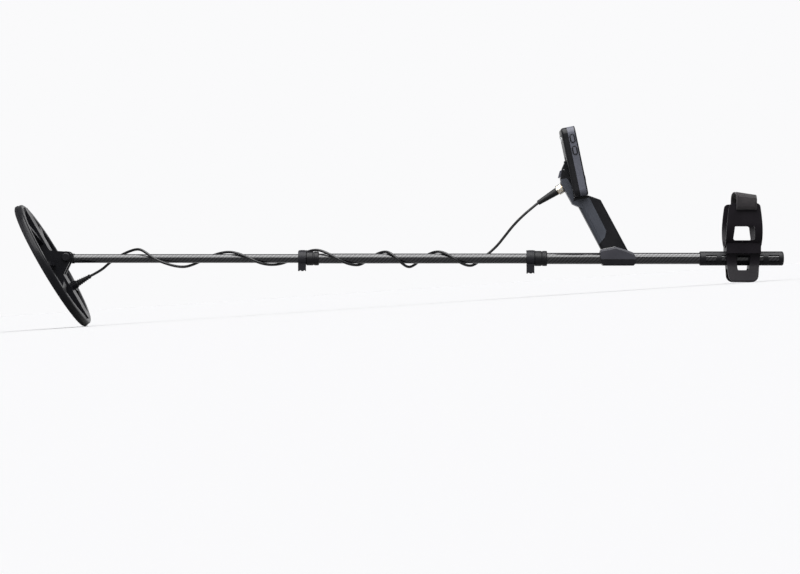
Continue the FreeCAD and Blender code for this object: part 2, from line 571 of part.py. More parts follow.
def make_socket_housing():
    housing = new_body("socket_block")
    extrude(housing, "XZ_Plane", "-grip_half", "grip_half", [("outline", SOCKET)])
    extrude(housing, "XZ_Plane", "-5", "5", [("outline",
                                              [("918", "145.5"), ("932.6", "147"), ("932.6", "171"),
                                               ("918", "171")])],
            remove=True)
    tool = doc.addObject("Part::Cylinder", "socket_bore")
    tool.Radius = 8.05
    tool.Height = 40
    tool.Placement = PLUG * Placement(Vector(-8, 0, 0), Rotation(Vector(0, 1, 0), 90))
    cut = doc.addObject("Part::Cut", "socket_block_bored")
    cut.Base = housing
    cut.Tool = tool
    pin_hole = doc.addObject("Part::Cylinder", "trigger_pin_hole")
    pin_hole.Radius = 1.25
    pin_hole.Height = 2 * size("grip_half") + 2
    pin_hole.Placement = Placement(Vector(929, -size("grip_half") - 1, 165.5), Rotation(Vector(1, 0, 0), -90))
    final = doc.addObject("Part::Cut", "socket_housing")
    final.Base = cut
    final.Tool = pin_hole
    doc.recompute()
    keep(final, "socket_housing", SHAFT)
    turned("coil_socket", [("5.5", "5.6"), ("5.5", "8"), ("17", "8"), ("17", "0"), ("14.5", "0"),
                           ("14.5", "5.6")], PLUG)
    trigger = new_body("trigger")
    extrude(trigger, "XZ_Plane", "-4.6", "4.6",
            [("outline", [("918.7", "151"), ("921", "149.6"), ("925.6", "157"), ("928.4", "162.2"),
                          ("927", "166.6"), ("921.8", "163")])])
    extrude(trigger, "XZ_Plane", "-4.6", "4.6", [("circle", ("929", "165.5"), "3")])
    extrude(trigger, "XZ_Plane", "-6", "6", [("circle", ("929", "165.5"), "1.25")], remove=True)
    keep(trigger, "trigger", SHAFT)
    turned("trigger_pin", [("-12", "0"), ("-12", "1.2"), ("12", "1.2"), ("12", "0")],
           at("929", "0", "165.5") * ACROSS)


# ---- control pod ----

def pod_loop(inset):
    """The pod's outline in the plane of its screen, moved inwards."""
    return ("rounded", f"-pod_half + {inset}", f"pod_half - {inset}", f"{inset}", f"pod_long - {inset}",
            f"pod_round - {inset}")


KEYS = [("-22", "32"), ("0", "32"), ("22", "32"), ("0", "15")]
SIDE_KEYS = [("1", "108"), ("2", "85.5")]


def make_pod():
    rear = new_body("pod_rear_housing")
    extrude(rear, "YZ_Plane", "-pod_deep", "band_rear", [pod_loop("0")])
    soften(rear, "5", lambda edge: edge.BoundBox.XMax < -size("pod_deep") + 0.1)
    extrude(rear, "YZ_Plane", "-pod_deep + pod_wall", "band_rear", [pod_loop("pod_wall")], remove=True)
    extrude(rear, "YZ_Plane", "-pod_deep - 1", "-pod_deep + 3", [("circle", ("0", "112"), "5.6")],
            remove=True)
    keep(rear, "pod_rear_housing", POD)

    band = new_body("pod_side_band")
    extrude(band, "YZ_Plane", "band_rear", "band_front", [pod_loop("0"), pod_loop("pod_wall")])
    for number, height in SIDE_KEYS:
        extrude(band, "XZ_Plane", "-pod_half - 1", "-pod_half + 3",
                [("rounded", "-13.1", "-3.1", f"{height} - 8.2", f"{height} + 8.2", "4.6")], remove=True)
    keep(band, "pod_side_band", POD)
    for number, height in SIDE_KEYS:
        key = new_body(f"side_button_{number}")
        extrude(key, "XZ_Plane", "-pod_half - 1.3", "-pod_half + 2.2",
                [("rounded", "-12.8", "-3.4", f"{height} - 7.9", f"{height} + 7.9", "4.3")])
        extrude(key, "XZ_Plane", "-pod_half + 2.4 - 0.2", "-pod_half + 3.4",
                [("rounded", "-13.2", "-3", f"{height} - 8.6", f"{height} + 8.6", "4.6")])
        keep(key, f"side_button_{number}", POD)

    bezel = new_body("pod_front_bezel")
    extrude(bezel, "YZ_Plane", "band_front", "0.6", [pod_loop("0")])
    soften(bezel, "2", lambda edge: edge.BoundBox.XMin > 0.5)
    extrude(bezel, "YZ_Plane", "-5", "2", [("rounded", "-34", "34", "47", "119", "4")], remove=True)
    for across, up in KEYS:
        extrude(bezel, "YZ_Plane", "-5", "2",
                [("rounded", f"{across} - 8.4", f"{across} + 8.4", f"{up} - 6", f"{up} + 6", "4.5")],
                remove=True)
    keep(bezel, "pod_front_bezel", POD)
    slab("display_lens", "YZ_Plane", "-1.2", "0.3", [("rounded", "-33.9", "33.9", "47.1", "118.9", "3.9")],
         POD)
    slab("display_module", "YZ_Plane", "-5.6", "-2.4", [("rounded", "-35.5", "35.5", "45.5", "120.5", "2")],
         POD)
    slab("main_board", "YZ_Plane", "-10", "-8.4", [("rounded", "-36", "36", "5", "124", "8")], POD)
    for number, (across, up) in enumerate(KEYS, start=1):
        key = new_body(f"key_{number}")
        extrude(key, "YZ_Plane", "-2.6", "1.7",
                [("rounded", f"{across} - 8.2", f"{across} + 8.2", f"{up} - 5.8", f"{up} + 5.8", "4.3")])
        extrude(key, "YZ_Plane", "-3.8", "-2.4",
                [("rounded", f"{across} - 9.4", f"{across} + 9.4", f"{up} - 7", f"{up} + 7", "4.6")])
        keep(key, f"key_{number}", POD)
    turned("speaker", [("-pod_deep + 2.6", "0"), ("-pod_deep + 2.6", "14"), ("-pod_deep + 7.6", "14"),
                       ("-pod_deep + 7.6", "9"),
                       ("-pod_deep + 10", "9"), ("-pod_deep + 10", "0")], POD * at("0", "0", "64"))
    turned("torch_lens", [("-pod_deep - 1.2", "0"), ("-pod_deep - 1.2", "4.5"), ("-pod_deep + 2", "5.5"),
                          ("-pod_deep + 2", "0")], POD * at("0", "0", "112"))


# ---- arm rest ----

def make_arm_rest():
    wall = new_body("cuff_wall_section")
    front, rear = "cuff_mid - cuff_half - cuff_bow", "cuff_mid + cuff_half + cuff_bow"
    extrude(wall, "YZ_Plane", front, rear,
            [("circle", ("0", "cuff_centre"), "cuff_r"),
             ("circle", ("0", "cuff_centre"), "cuff_r - cuff_wall")])
    open_top = [("-60", "cuff_centre"), ("60", "cuff_centre"), ("60", "cuff_centre + 60"),
                ("-60", "cuff_centre + 60")]
    extrude(wall, "YZ_Plane", f"{front} - 1", f"{rear} + 1", [("outline", open_top)], remove=True)
    for side in ("", "-"):
        cheek = [(f"{side}(cuff_r - cuff_wall)", "cuff_centre - 0.5"), (f"{side}cuff_r", "cuff_centre - 0.5"),
                 (f"{side}cuff_r", "cuff_top"), (f"{side}(cuff_r - cuff_wall)", "cuff_top")]
        extrude(wall, "YZ_Plane", front, rear, [("outline", cheek)])
    side_view = new_body("cuff_side_view")
    extrude(side_view, "XZ_Plane", "-60", "60",
            [("bowed", "cuff_mid", "cuff_half", "cuff_half_top", "10", "cuff_top", "cuff_bow")])
    soften(side_view, "8",
           lambda edge: edge.BoundBox.YLength > 100 and edge.BoundBox.ZMin > size("cuff_top") - 1)
    window = [("cuff_mid - 20.6", "33.4"), ("cuff_mid + 20.2", "33.4"), ("cuff_mid + 18", "60.7"),
              ("cuff_mid - 17.8", "60.7")]
    extrude(side_view, "XZ_Plane", "-60", "60", [("outline", window)], remove=True)
    soften(side_view, "4", lambda edge: edge.BoundBox.YLength > 100 and 33 < edge.BoundBox.ZMin < 61)
    common("arm_cuff", wall, side_view)

    # a block cradles the cuff and clamps the track, on two legs
    form = new_body("stand_section")
    half = [("28.3", "32"), ("28.3", "9.2"), ("19.5", "8"), ("18.4", "-3.6"), ("20.4", "-16"),
            ("29", "stand_low + 3"),
            ("29", "stand_low"), ("20", "stand_low"), ("14.6", "-19.5")]
    other_half = [(f"-{across}", up) for across, up in reversed(half)]
    extrude(form, "YZ_Plane", "cuff_mid - 33", "cuff_mid + 33", [("outline", half + other_half)])
    extrude(form, "YZ_Plane", "cuff_mid - 34", "cuff_mid + 34",
            [("circle", ("0", "cuff_centre"), "cuff_r + 0.05")], remove=True)
    extrude(form, "YZ_Plane", "cuff_mid - 34", "cuff_mid + 34",
            [("circle", ("0", "0"), "track_r + fit_gap")], remove=True)
    outline = new_body("stand_side_view")
    corners = [("cuff_mid - 26.5", "stand_low"), ("cuff_mid + 26.5", "stand_low"), ("cuff_mid + 32.2", "10"),
               ("cuff_mid + 32.2", "40"), ("cuff_mid - 32", "40"), ("cuff_mid - 32", "10")]
    extrude(outline, "XZ_Plane", "-40", "40", [("outline", corners)])
    soften(outline, "13",
           lambda edge: edge.BoundBox.YLength > 70 and edge.BoundBox.ZMax < size("stand_low") + 1)
    side_hole = [("cuff_mid - 13.3", "5.6"), ("cuff_mid - 10.3", "-22"), ("cuff_mid + 10.7", "-22"),
                 ("cuff_mid + 13.7", "5.6")]
    extrude(outline, "XZ_Plane", "-40", "40", [("outline", side_hole)], remove=True)
    soften(outline, "2.5", lambda edge: edge.BoundBox.YLength > 70 and -23 < edge.BoundBox.ZMin < 6)
    common("stand", form, outline)


def make_strap():
    """Webbing over the top of the cuff: its plain outer form."""
    outer = [(50.6, 91), (50.6, 103), (45, 112.5), (26, 118.6), (0, 120.4)]
    outer += [(-y, z) for y, z in reversed(outer[:-1])]
    inner = [(48.2, 91), (48.2, 102.2), (43.4, 110.2), (25.4, 116), (0, 117.8)]
    inner += [(-y, z) for y, z in reversed(inner[:-1])]
    ring = outer + list(reversed(inner))
    slab("arm_strap", "YZ_Plane", "cuff_mid + 3 - strap_half", "cuff_mid + 3 + strap_half",
         [("outline", [(str(y), str(z)) for y, z in ring])])


# ---- cable ----

def along_plug(distance):
    return PLUG.multVec(Vector(distance, 0, 0))


# where the wound cable passes behind, over, in front of and under the shaft, quarter turn by
# quarter turn: distance along the shaft and distance from its axis
QUARTERS = [(88, 15.5), (133, 18.8), (163, 15.5), (217.5, 17), (258, 13.4), (303.5, 13), (343, 12.8),
            (380.5, 12.2),
            (424, 16.4), (467, 17.2), (505.5, 14.4), (543, 13.2), (566, 13.2), (595.5, 13.4), (618, 14.4),
            (640.5, 17.2),
            (664, 14.2), (694.5, 13.6), (724.5, 13.9), (754.5, 14.5), (777, 14)]
LEAD_START = [(61, 20, -22.5), (75, 18.5, -10)]
TAIL = [(792, 13.6, 11.5), (806, 11.5, 24.5), (819, 9, 41), (833, 6, 59), (848, 3.2, 75), (864, 0.9, 89.5)]


def wound_points():
    """The route's corners round the shaft, eight to a turn."""
    points = []
    for i in range(2 * len(QUARTERS) - 1):
        before, after = QUARTERS[i // 2], QUARTERS[(i + 1) // 2]
        along = (before[0] + after[0]) / 2
        radius = (before[1] + after[1]) / 2
        turn = math.radians(45 * i)
        points.append(Vector(along, radius * math.cos(turn), radius * math.sin(turn)))
    return points


def cable_path(points, name):
    """Straight runs joined by arcs, each as large as its two runs allow."""
    edges = []
    start = points[0]
    least = 1e9
    for i in range(1, len(points) - 1):
        back = points[i - 1] - points[i]
        ahead = points[i + 1] - points[i]
        half_turn = (math.pi - back.getAngle(ahead)) / 2
        trim = 0.45 * min(back.Length, ahead.Length)
        radius = trim / math.tan(half_turn)
        least = min(least, radius)
        arc_start = points[i] + back.normalize() * trim
        arc_end = points[i] + ahead.normalize() * trim
        bisector = (back + ahead).normalize()
        middle = points[i] + bisector * (radius / math.cos(half_turn) - radius)
        edges.append(Part.LineSegment(start, arc_start).toShape())
        edges.append(Part.Arc(arc_start, middle, arc_end).toShape())
        start = arc_end
    edges.append(Part.LineSegment(start, points[-1]).toShape())
    print(f"{name}: tightest radius {least:.1f} mm, length {sum(edge.Length for edge in edges):.1f} mm")
    return Part.Wire(edges)


def make_cable_piece(name, points):
    radius = size("cable_r")
    path = cable_path(points, name)
    circle = Part.Wire(Part.makeCircle(radius, points[0], points[1] - points[0]))
    solid = path.makePipeShell([circle], True, False)
    expected = math.pi * radius ** 2 * path.Length
    if abs(solid.Volume - expected) > 0.01 * expected:
        raise RuntimeError(f"{name} has volume {solid.Volume:.0f}, not {expected:.0f}")
    feature = doc.addObject("Part::Feature", name)
    feature.Shape = solid
    keep(feature, name, SHAFT)


def make_cable():
    """The cable in five lengths: off the coil, round the lower section, past the first lock,
    round the middle section, and up to the plug."""
    boot_end = (COIL * at("boot_heel", "boot_side", "18")).Base
    route = [boot_end] + [Vector(*point) for point in LEAD_START] + wound_points()
    route += [Vector(*point) for point in TAIL] + [along_plug(-49.8)]
    first_wound = 1 + len(LEAD_START)
    breaks = [first_wound - 1, first_wound + 15, first_wound + 18, first_wound + 2 * len(QUARTERS) - 2]
    names = ["cable_coil_lead", "cable_lower_wrap", "cable_past_lock", "cable_middle_wrap", "cable_tail"]
    middles = [(route[i] + route[i + 1]) * 0.5 for i in breaks]
    starts = [0] + [i + 1 for i in breaks]
    ends = breaks + [len(route) - 1]
    for number, name in enumerate(names):
        points = route[starts[number]:ends[number] + 1]
        if number > 0:
            points = [middles[number - 1]] + points
        if number < len(breaks):
            points = points + [middles[number]]
        make_cable_piece(name, points)


def make_plug():
    turned("plug_boot", [("-49.8", "0"), ("-49.8", "4.4"), ("-44", "4.8"), ("-12", "6.9"), ("-8", "7"),
                         ("-8", "0")], PLUG)
    turned("plug_body", [("-8", "0"), ("-8", "6.6"), ("3.6", "6.6"), ("3.6", "5.4"), ("13", "5.4"),
                         ("13", "0")], PLUG)
    turned("plug_ring", [("-7", "6.7"), ("-7", "8.4"), ("-6", "9.2"), ("3.2", "9.2"), ("4.2", "8.4"),
                         ("4.2", "6.7")], PLUG)


def make_screws():
    """Saddle screws from below, and grip screws through the right half of the grip."""
    up = Rotation()
    across = Rotation(Vector(1, 0, 0), -90)
    screws = [("1.8", "20", Placement(Vector(x, y, -13.2), up)) for x in (1008, 1054) for y in (-15.6, 15.6)]
    screws += [("1.6", "14", Placement(Vector(x, 2, z), across)) for x, z in ((964, 106), (1022, 34))]
    group("handle_screws", SHAFT, screws)


make_coil()
make_lower_section()
make_middle_section()
make_upper_section()
make_saddle()
make_grip()
make_socket_housing()
make_pod()
make_arm_rest()
make_strap()
make_plug()
make_cable()
make_screws()

# ---- set the detector down: nose up until the coil's heel and the stand's feet are level ----

def leaned(angle):
    """The detector turned nose up by an angle."""
    return Placement(Vector(), Rotation(Vector(0, 1, 0), angle))


def true_box(shape, place):
    return shape.transformed(place.toMatrix()).optimalBoundingBox(False)


def heel_above_feet(angle):
    heel, feet = (true_box(by_label[label].Shape, leaned(angle)).ZMin for label in ("skid_plate", "stand"))
    return heel - feet


def level_angle():
    """The lean at which the heel and the feet reach equally low, by the secant rule."""
    before, angle = 3.0, 4.5
    gap_before, gap = heel_above_feet(before), heel_above_feet(angle)
    for _ in range(6):
        if abs(gap) < 1e-6:
            break
        following = angle - gap * (angle - before) / (gap - gap_before)
        before, gap_before = angle, gap
        angle = following
        gap = heel_above_feet(angle)
    return angle


def check(items):
    """Stop if any feature failed, or any sub-part is empty or broken."""
    failed = [item.Label for item in doc.Objects if {"Invalid", "Error"} & set(item.State)]
    empty = [item.Label for item in items
             if item.Shape.isNull() or not item.Shape.isValid() or not item.Shape.Solids]
    if failed or empty:
        raise RuntimeError(f"failed features: {failed}; bad shapes: {empty}")


doc.recompute()
by_label = {piece.Label: piece for piece in pieces}
check(pieces)
stance = leaned(level_angle())
whole = FreeCAD.BoundBox()
for piece in pieces:
    whole.add(true_box(piece.Shape, stance))
stance = Placement(Vector(-whole.Center.x, 0, -whole.ZMin), Rotation()) * stance
for piece in pieces:
    piece.Placement = stance * piece.Placement
doc.recompute()
check(pieces)
print("stance", stance, "size", whole.XLength, whole.YLength, whole.ZLength)

os.makedirs("parts", exist_ok=True)
for piece in pieces:
    piece.Shape.exportStep(f"parts/{piece.Label}.step")
print(len(pieces), "sub-parts written")
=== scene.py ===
import json
import math

import bmesh
import bpy
from mathutils import Matrix, Vector


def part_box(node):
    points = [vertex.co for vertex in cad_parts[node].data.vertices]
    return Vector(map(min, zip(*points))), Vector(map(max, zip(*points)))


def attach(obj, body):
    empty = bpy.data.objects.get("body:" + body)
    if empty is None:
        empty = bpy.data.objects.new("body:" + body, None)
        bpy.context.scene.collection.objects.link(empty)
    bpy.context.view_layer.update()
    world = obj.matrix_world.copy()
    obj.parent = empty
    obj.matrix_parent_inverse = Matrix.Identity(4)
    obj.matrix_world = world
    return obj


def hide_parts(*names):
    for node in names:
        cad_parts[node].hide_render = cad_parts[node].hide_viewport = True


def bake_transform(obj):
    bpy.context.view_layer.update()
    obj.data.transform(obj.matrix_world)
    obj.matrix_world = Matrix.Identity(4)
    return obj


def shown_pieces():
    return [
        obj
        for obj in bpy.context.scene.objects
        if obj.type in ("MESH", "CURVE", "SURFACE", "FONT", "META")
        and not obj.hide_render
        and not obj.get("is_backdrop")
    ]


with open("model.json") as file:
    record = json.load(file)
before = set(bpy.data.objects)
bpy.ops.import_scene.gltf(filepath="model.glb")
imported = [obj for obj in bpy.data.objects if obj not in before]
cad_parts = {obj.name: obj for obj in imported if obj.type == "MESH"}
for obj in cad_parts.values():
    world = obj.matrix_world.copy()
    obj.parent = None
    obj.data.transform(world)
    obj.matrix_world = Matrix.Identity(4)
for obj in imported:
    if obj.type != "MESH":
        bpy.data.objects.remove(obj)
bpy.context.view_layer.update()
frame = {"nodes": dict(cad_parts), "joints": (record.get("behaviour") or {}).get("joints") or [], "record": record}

bl_info = {
    "name": "Metal detector",
    "version": (1, 0, 0),
    "blender": (4, 5, 0),
    "location": "View3D > Sidebar > Detector",
    "description": "Dresses a telescoping metal detector: shaft, search coil, handle, arm rest and cable",
    "category": "Object",
}

JOINTS = {joint["name"]: joint for joint in frame["joints"]}
BODY_OF = {node: body for body, members in frame["record"]["behaviour"]["bodies"].items() for node in members}
MM = 0.001


# ---- frames, in millimetres: X along the piece, Y to the operator's right, Z up it ----

def frame_at(origin, along):
    """A frame whose X axis runs along a direction and whose Y axis is the object's own."""
    x = Vector(along).normalized()
    y = Vector((0, 1, 0))
    axes = Matrix((x, y, x.cross(y))).transposed().to_4x4()
    return Matrix.Translation(origin) @ axes @ Matrix.Scale(MM, 4)


def moved(x, y, z, lean=0):
    """A step inside a frame: a shift in millimetres and a turn about Y in degrees."""
    return Matrix.Translation((x, y, z)) @ Matrix.Rotation(math.radians(lean), 4, "Y")


PIVOT_RISE = 2.5                      # the coil's pivot is this high above the shaft's axis
COIL_TILT = 60                        # the coil's plane leans this far from the shaft
SHAFT = frame_at(JOINTS["coil_tilt"]["pos_m"], JOINTS["middle_slide"]["axis"]) @ moved(0, 0, -PIVOT_RISE)
COIL = SHAFT @ moved(0, 0, PIVOT_RISE, COIL_TILT)
PLUG = frame_at(JOINTS["plug_ring_turn"]["pos_m"], JOINTS["plug_ring_turn"]["axis"])
POD = SHAFT @ moved(973.5, 0, 118, -11.7)
ACROSS = Matrix.Rotation(math.radians(90), 4, "Z")           # a turned piece's X axis along Y
UPRIGHT = Matrix.Rotation(math.radians(-90), 4, "Y")         # a turned piece's X axis along Z


def shaft_point(x, y, z):
    """A point of the shaft's frame, given in millimetres, in the object's own frame."""
    return SHAFT @ Vector((x, y, z))


# ---- colours and node materials ----

def linear(colour):
    """An sRGB hex colour as linear red, green, blue and alpha."""
    channels = [int(colour[i:i + 2], 16) / 255 for i in (1, 3, 5)]
    return [c / 12.92 if c <= 0.04045 else ((c + 0.055) / 1.055) ** 2.4 for c in channels] + [1.0]


def add(tree, kind, inputs=None, **settings):
    """Add a node with its settings; an input given as a socket is linked, any other is set."""
    made = tree.nodes.new(kind)
    for name, value in settings.items():
        setattr(made, name, value)
    for name, value in (inputs or {}).items():
        if isinstance(value, bpy.types.NodeSocket):
            tree.links.new(value, made.inputs[name])
        else:
            made.inputs[name].default_value = value
    return made


def new_material(name, colour, **shader_inputs):
    """A node material with one shader, and its constants on the shader's own sockets."""
    material = bpy.data.materials.new(name)
    material.use_nodes = True
    tree = material.node_tree
    tree.nodes.clear()
    constants = {key.replace("_", " "): value for key, value in shader_inputs.items()}
    shader = add(tree, "ShaderNodeBsdfPrincipled", {"Base Color": colour, **constants})
    add(tree, "ShaderNodeOutputMaterial", {"Surface": shader.outputs[0]})
    return material, tree, shader


def millimetres(tree, place=Matrix.Scale(MM, 4), stretch=(1, 1, 1)):
    """Object coordinates in millimetres, in one of the frames, squeezed or stretched along its axes."""
    back = place.inverted()
    source = add(tree, "ShaderNodeTexCoord").outputs["Object"]
    where = add(tree, "ShaderNodeMapping", {"Vector": source, "Location": back.to_translation(),
                                            "Rotation": back.to_euler(), "Scale": [1 / MM] * 3})
    scaled = add(tree, "ShaderNodeVectorMath", {0: where.outputs[0], 1: stretch}, operation="MULTIPLY")
    return scaled.outputs[0]


def shade(colour, factor):
    """The same colour, so many times as bright."""
    return [channel * factor for channel in colour[:3]] + [1.0]


def moulded(name, colour, gloss, grain, depth, mottle=0.12, **shader_inputs):
    """Moulded plastic or rubber: the tool's spark-eroded grain, so many millimetres across and
    deep, over a faint mottle of colour and gloss left by the flow of the melt."""
    material, tree, shader = new_material(name, colour, **{"Specular_IOR_Level": 0.1, **shader_inputs})
    where = millimetres(tree)
    flow = add(tree, "ShaderNodeTexNoise", {"Vector": where, "Scale": 1 / 28, "Detail": 3.0}).outputs[0]
    pits = add(tree, "ShaderNodeTexNoise", {"Vector": where, "Scale": 1 / grain, "Detail": 2.0}).outputs[0]
    cloud = add(tree, "ShaderNodeMapRange", {0: flow, 1: 0.3, 2: 0.7}).outputs[0]
    tint = add(tree, "ShaderNodeMix", {0: cloud, 6: shade(colour, 1 - mottle), 7: shade(colour, 1 + mottle)},
               data_type="RGBA")
    tree.links.new(tint.outputs[2], shader.inputs["Base Color"])
    # gloss is a roughness: it varies a little with the grain and a little with the flow
    dull = add(tree, "ShaderNodeMapRange", {0: pits, 1: 0.3, 2: 0.7, 3: gloss - 0.07, 4: gloss + 0.07})
    patchy = add(tree, "ShaderNodeMapRange", {0: flow, 1: 0.3, 2: 0.7, 3: -0.05, 4: 0.05}).outputs[0]
    both = add(tree, "ShaderNodeMath", {0: dull.outputs[0], 1: patchy}).outputs[0]
    tree.links.new(both, shader.inputs["Roughness"])
    bump = add(tree, "ShaderNodeBump", {"Strength": 0.6, "Distance": depth * MM, "Height": pits})
    tree.links.new(bump.outputs[0], shader.inputs["Normal"])
    return material


def second_shot(material, colour, place, corners):
    """Colour the part of a moulding that lies inside a convex outline, as a second plastic moulded
    into the first would: corners are (x, z) in a frame, clockwise seen from the object's left."""
    tree = material.node_tree
    shader = next(node for node in tree.nodes if node.type == "BSDF_PRINCIPLED")
    where = millimetres(tree, place)
    inside = None
    # how deep a point lies inside the outline: the least of its depths behind the sides
    for (x, z), (next_x, next_z) in zip(corners, corners[1:] + corners[:1]):
        inwards = Vector((next_z - z, 0, x - next_x)).normalized()
        depth = add(tree, "ShaderNodeVectorMath", {0: where, 1: inwards},
                    operation="DOT_PRODUCT").outputs["Value"]
        depth = add(tree, "ShaderNodeMath", {0: depth, 1: inwards.dot((x, 0, z))},
                    operation="SUBTRACT").outputs[0]
        if inside is not None:
            depth = add(tree, "ShaderNodeMath", {0: inside, 1: depth}, operation="MINIMUM").outputs[0]
        inside = depth
    mask = add(tree, "ShaderNodeMapRange", {0: inside, 1: -0.1, 2: 0.1}).outputs[0]
    first = shader.inputs["Base Color"].links[0].from_socket
    mix = add(tree, "ShaderNodeMix", {0: mask, 6: first, 7: colour}, data_type="RGBA")
    tree.links.new(mix.outputs[2], shader.inputs["Base Color"])
    return material


def carbon_twill(name, tows_round, look, sizes):
    """Carbon fibre tube: 2/2 twill, rolled and clear-coated.  Tows that run along the shaft and
    tows that run round it catch the light in turn, so the eye sees steps climbing at 45 degrees
    under a hard glossy coat."""
    material, tree, shader = new_material(name, look.carbon_dark, Coat_Weight=1.0, Coat_Roughness=0.05,
                                          Coat_IOR=1.35)
    axes = add(tree, "ShaderNodeSeparateXYZ", {0: millimetres(tree, SHAFT)})
    angle = add(tree, "ShaderNodeMath", {0: axes.outputs[1], 1: axes.outputs[2]}, operation="ARCTAN2")
    along = add(tree, "ShaderNodeMath", {0: axes.outputs[0], 1: MM / sizes.tow_width}, operation="MULTIPLY")
    around = add(tree, "ShaderNodeMath", {0: angle.outputs[0], 1: tows_round / math.tau},
                 operation="MULTIPLY")
    columns = add(tree, "ShaderNodeMath", {0: along.outputs[0]}, operation="FLOOR")
    rows = add(tree, "ShaderNodeMath", {0: around.outputs[0]}, operation="FLOOR")
    step = add(tree, "ShaderNodeMath", {0: columns.outputs[0], 1: rows.outputs[0]}, operation="SUBTRACT")
    place = add(tree, "ShaderNodeMath", {0: step.outputs[0], 1: 4.0}, operation="FLOORED_MODULO")
    over = add(tree, "ShaderNodeMath", {0: place.outputs[0], 1: 1.5}, operation="LESS_THAN").outputs[0]
    # the crown of each tow: highest in its middle, across its own direction
    crowns = []
    for value in (around, along):
        part = add(tree, "ShaderNodeMath", {0: value.outputs[0], 1: 0.5}, operation="PINGPONG")
        crowns.append(add(tree, "ShaderNodeMath", {0: part.outputs[0], 1: 0.5}, operation="POWER").outputs[0])
    crown = add(tree, "ShaderNodeMix", {0: over, 2: crowns[1], 3: crowns[0]}).outputs[0]
    # filaments, drawn coarser than their 7 microns so that they show
    lengthwise, crosswise = [
        add(tree, "ShaderNodeTexNoise", {"Vector": millimetres(tree, SHAFT, pull), "Scale": 2.0,
                                         "Detail": 2.0}).outputs[0]
        for pull in ((0.1, 1, 1), (1, 0.15, 0.15))]
    filaments = add(tree, "ShaderNodeMix", {0: over, 2: crosswise, 3: lengthwise}).outputs[0]
    # the tows along the shaft are painted lighter than the tows round it: a painted sheen for the light that real
    # tows catch along their fibres
    tones = [add(tree, "ShaderNodeMix", {0: filaments, 6: shade(tone, 0.5), 7: tone},
                 data_type="RGBA").outputs[2]
             for tone in (look.carbon_dark, look.carbon_sheen_along)]
    weave = add(tree, "ShaderNodeMix", {0: over, 6: tones[0], 7: tones[1]}, data_type="RGBA").outputs[2]
    tree.links.new(weave, shader.inputs["Base Color"])
    gloss = add(tree, "ShaderNodeMapRange", {0: over, 3: 0.5, 4: 0.3}).outputs[0]
    tree.links.new(gloss, shader.inputs["Roughness"])
    sheen = add(tree, "ShaderNodeMapRange", {0: over, 3: 0.0, 4: 0.12}).outputs[0]
    tree.links.new(sheen, shader.inputs["Specular IOR Level"])
    bump = add(tree, "ShaderNodeBump", {"Strength": 0.7, "Distance": 0.12 * MM, "Height": crown})
    tree.links.new(bump.outputs[0], shader.inputs["Normal"])
    return material


def cable_rubber(look):
    """Polyurethane cable jacket: extruded, so almost smooth, with a soft sheen and faint drag
    lines; dust dulls it here and there."""
    return moulded("extruded cable jacket", look.cable, 0.3, 1.6, 0.006, 0.2, Specular_IOR_Level=0.2)


def coil_plastic(look):
    """Injection-moulded ABS, lightly textured: a soft sheen on flats and a thin bright line on
    every edge."""
    return moulded("moulded coil ABS", look.coil, 0.3, 1.1, 0.03, Specular_IOR_Level=0.09)


def skid_plastic(look):
    """Thermoformed skid plate: the same ABS rubbed over the ground, so greyer, duller and covered
    in fine scratches that run with the sweep."""
    material, tree, shader = new_material("scuffed skid plate", look.skid, Specular_IOR_Level=0.06)
    where = millimetres(tree, COIL, (1, 0.06, 1))
    scratches = add(tree, "ShaderNodeTexNoise", {"Vector": where, "Scale": 1 / 1.2, "Detail": 3.0}).outputs[0]
    worn = add(tree, "ShaderNodeMapRange", {0: scratches, 1: 0.52, 2: 0.75}).outputs[0]
    tone = add(tree, "ShaderNodeMix", {0: worn, 6: look.skid, 7: shade(look.skid, 3)},
               data_type="RGBA").outputs[2]
    tree.links.new(tone, shader.inputs["Base Color"])
    dull = add(tree, "ShaderNodeMapRange", {0: scratches, 1: 0.3, 2: 0.7, 3: 0.36, 4: 0.6}).outputs[0]
    tree.links.new(dull, shader.inputs["Roughness"])
    bump = add(tree, "ShaderNodeBump", {"Strength": 0.5, "Distance": 0.06 * MM, "Height": scratches})
    tree.links.new(bump.outputs[0], shader.inputs["Normal"])
    return material


def brushed_steel():
    """Stainless steel pins and screws, turned: fine rings round them spread the highlight."""
    material, tree, shader = new_material("turned stainless steel", linear("#a9abae"), Metallic=1.0)
    where = millimetres(tree, SHAFT, (1, 0.1, 0.1))
    rings = add(tree, "ShaderNodeTexNoise", {"Vector": where, "Scale": 2.0, "Detail": 2.0}).outputs[0]
    dull = add(tree, "ShaderNodeMapRange", {0: rings, 1: 0.3, 2: 0.7, 3: 0.2, 4: 0.4}).outputs[0]
    tree.links.new(dull, shader.inputs["Roughness"])
    bump = add(tree, "ShaderNodeBump", {"Strength": 0.3, "Distance": 0.02 * MM, "Height": rings})
    tree.links.new(bump.outputs[0], shader.inputs["Normal"])
    return material


def plated_brass(look):
    """Nickel-plated brass plug parts: bright, a little yellow where the plate has worn."""
    material, tree, shader = new_material("plated brass", look.plating, Metallic=1.0)
    wear = add(tree, "ShaderNodeTexNoise", {"Vector": millimetres(tree, PLUG), "Scale": 1 / 3}).outputs[0]
    bare = add(tree, "ShaderNodeMapRange", {0: wear, 1: 0.5, 2: 0.7}).outputs[0]
    tone = add(tree, "ShaderNodeMix", {0: bare, 6: look.plating, 7: look.brass}, data_type="RGBA").outputs[2]
    tree.links.new(tone, shader.inputs["Base Color"])
    dull = add(tree, "ShaderNodeMapRange", {0: wear, 1: 0.3, 2: 0.7, 3: 0.16, 4: 0.34}).outputs[0]
    tree.links.new(dull, shader.inputs["Roughness"])
    return material


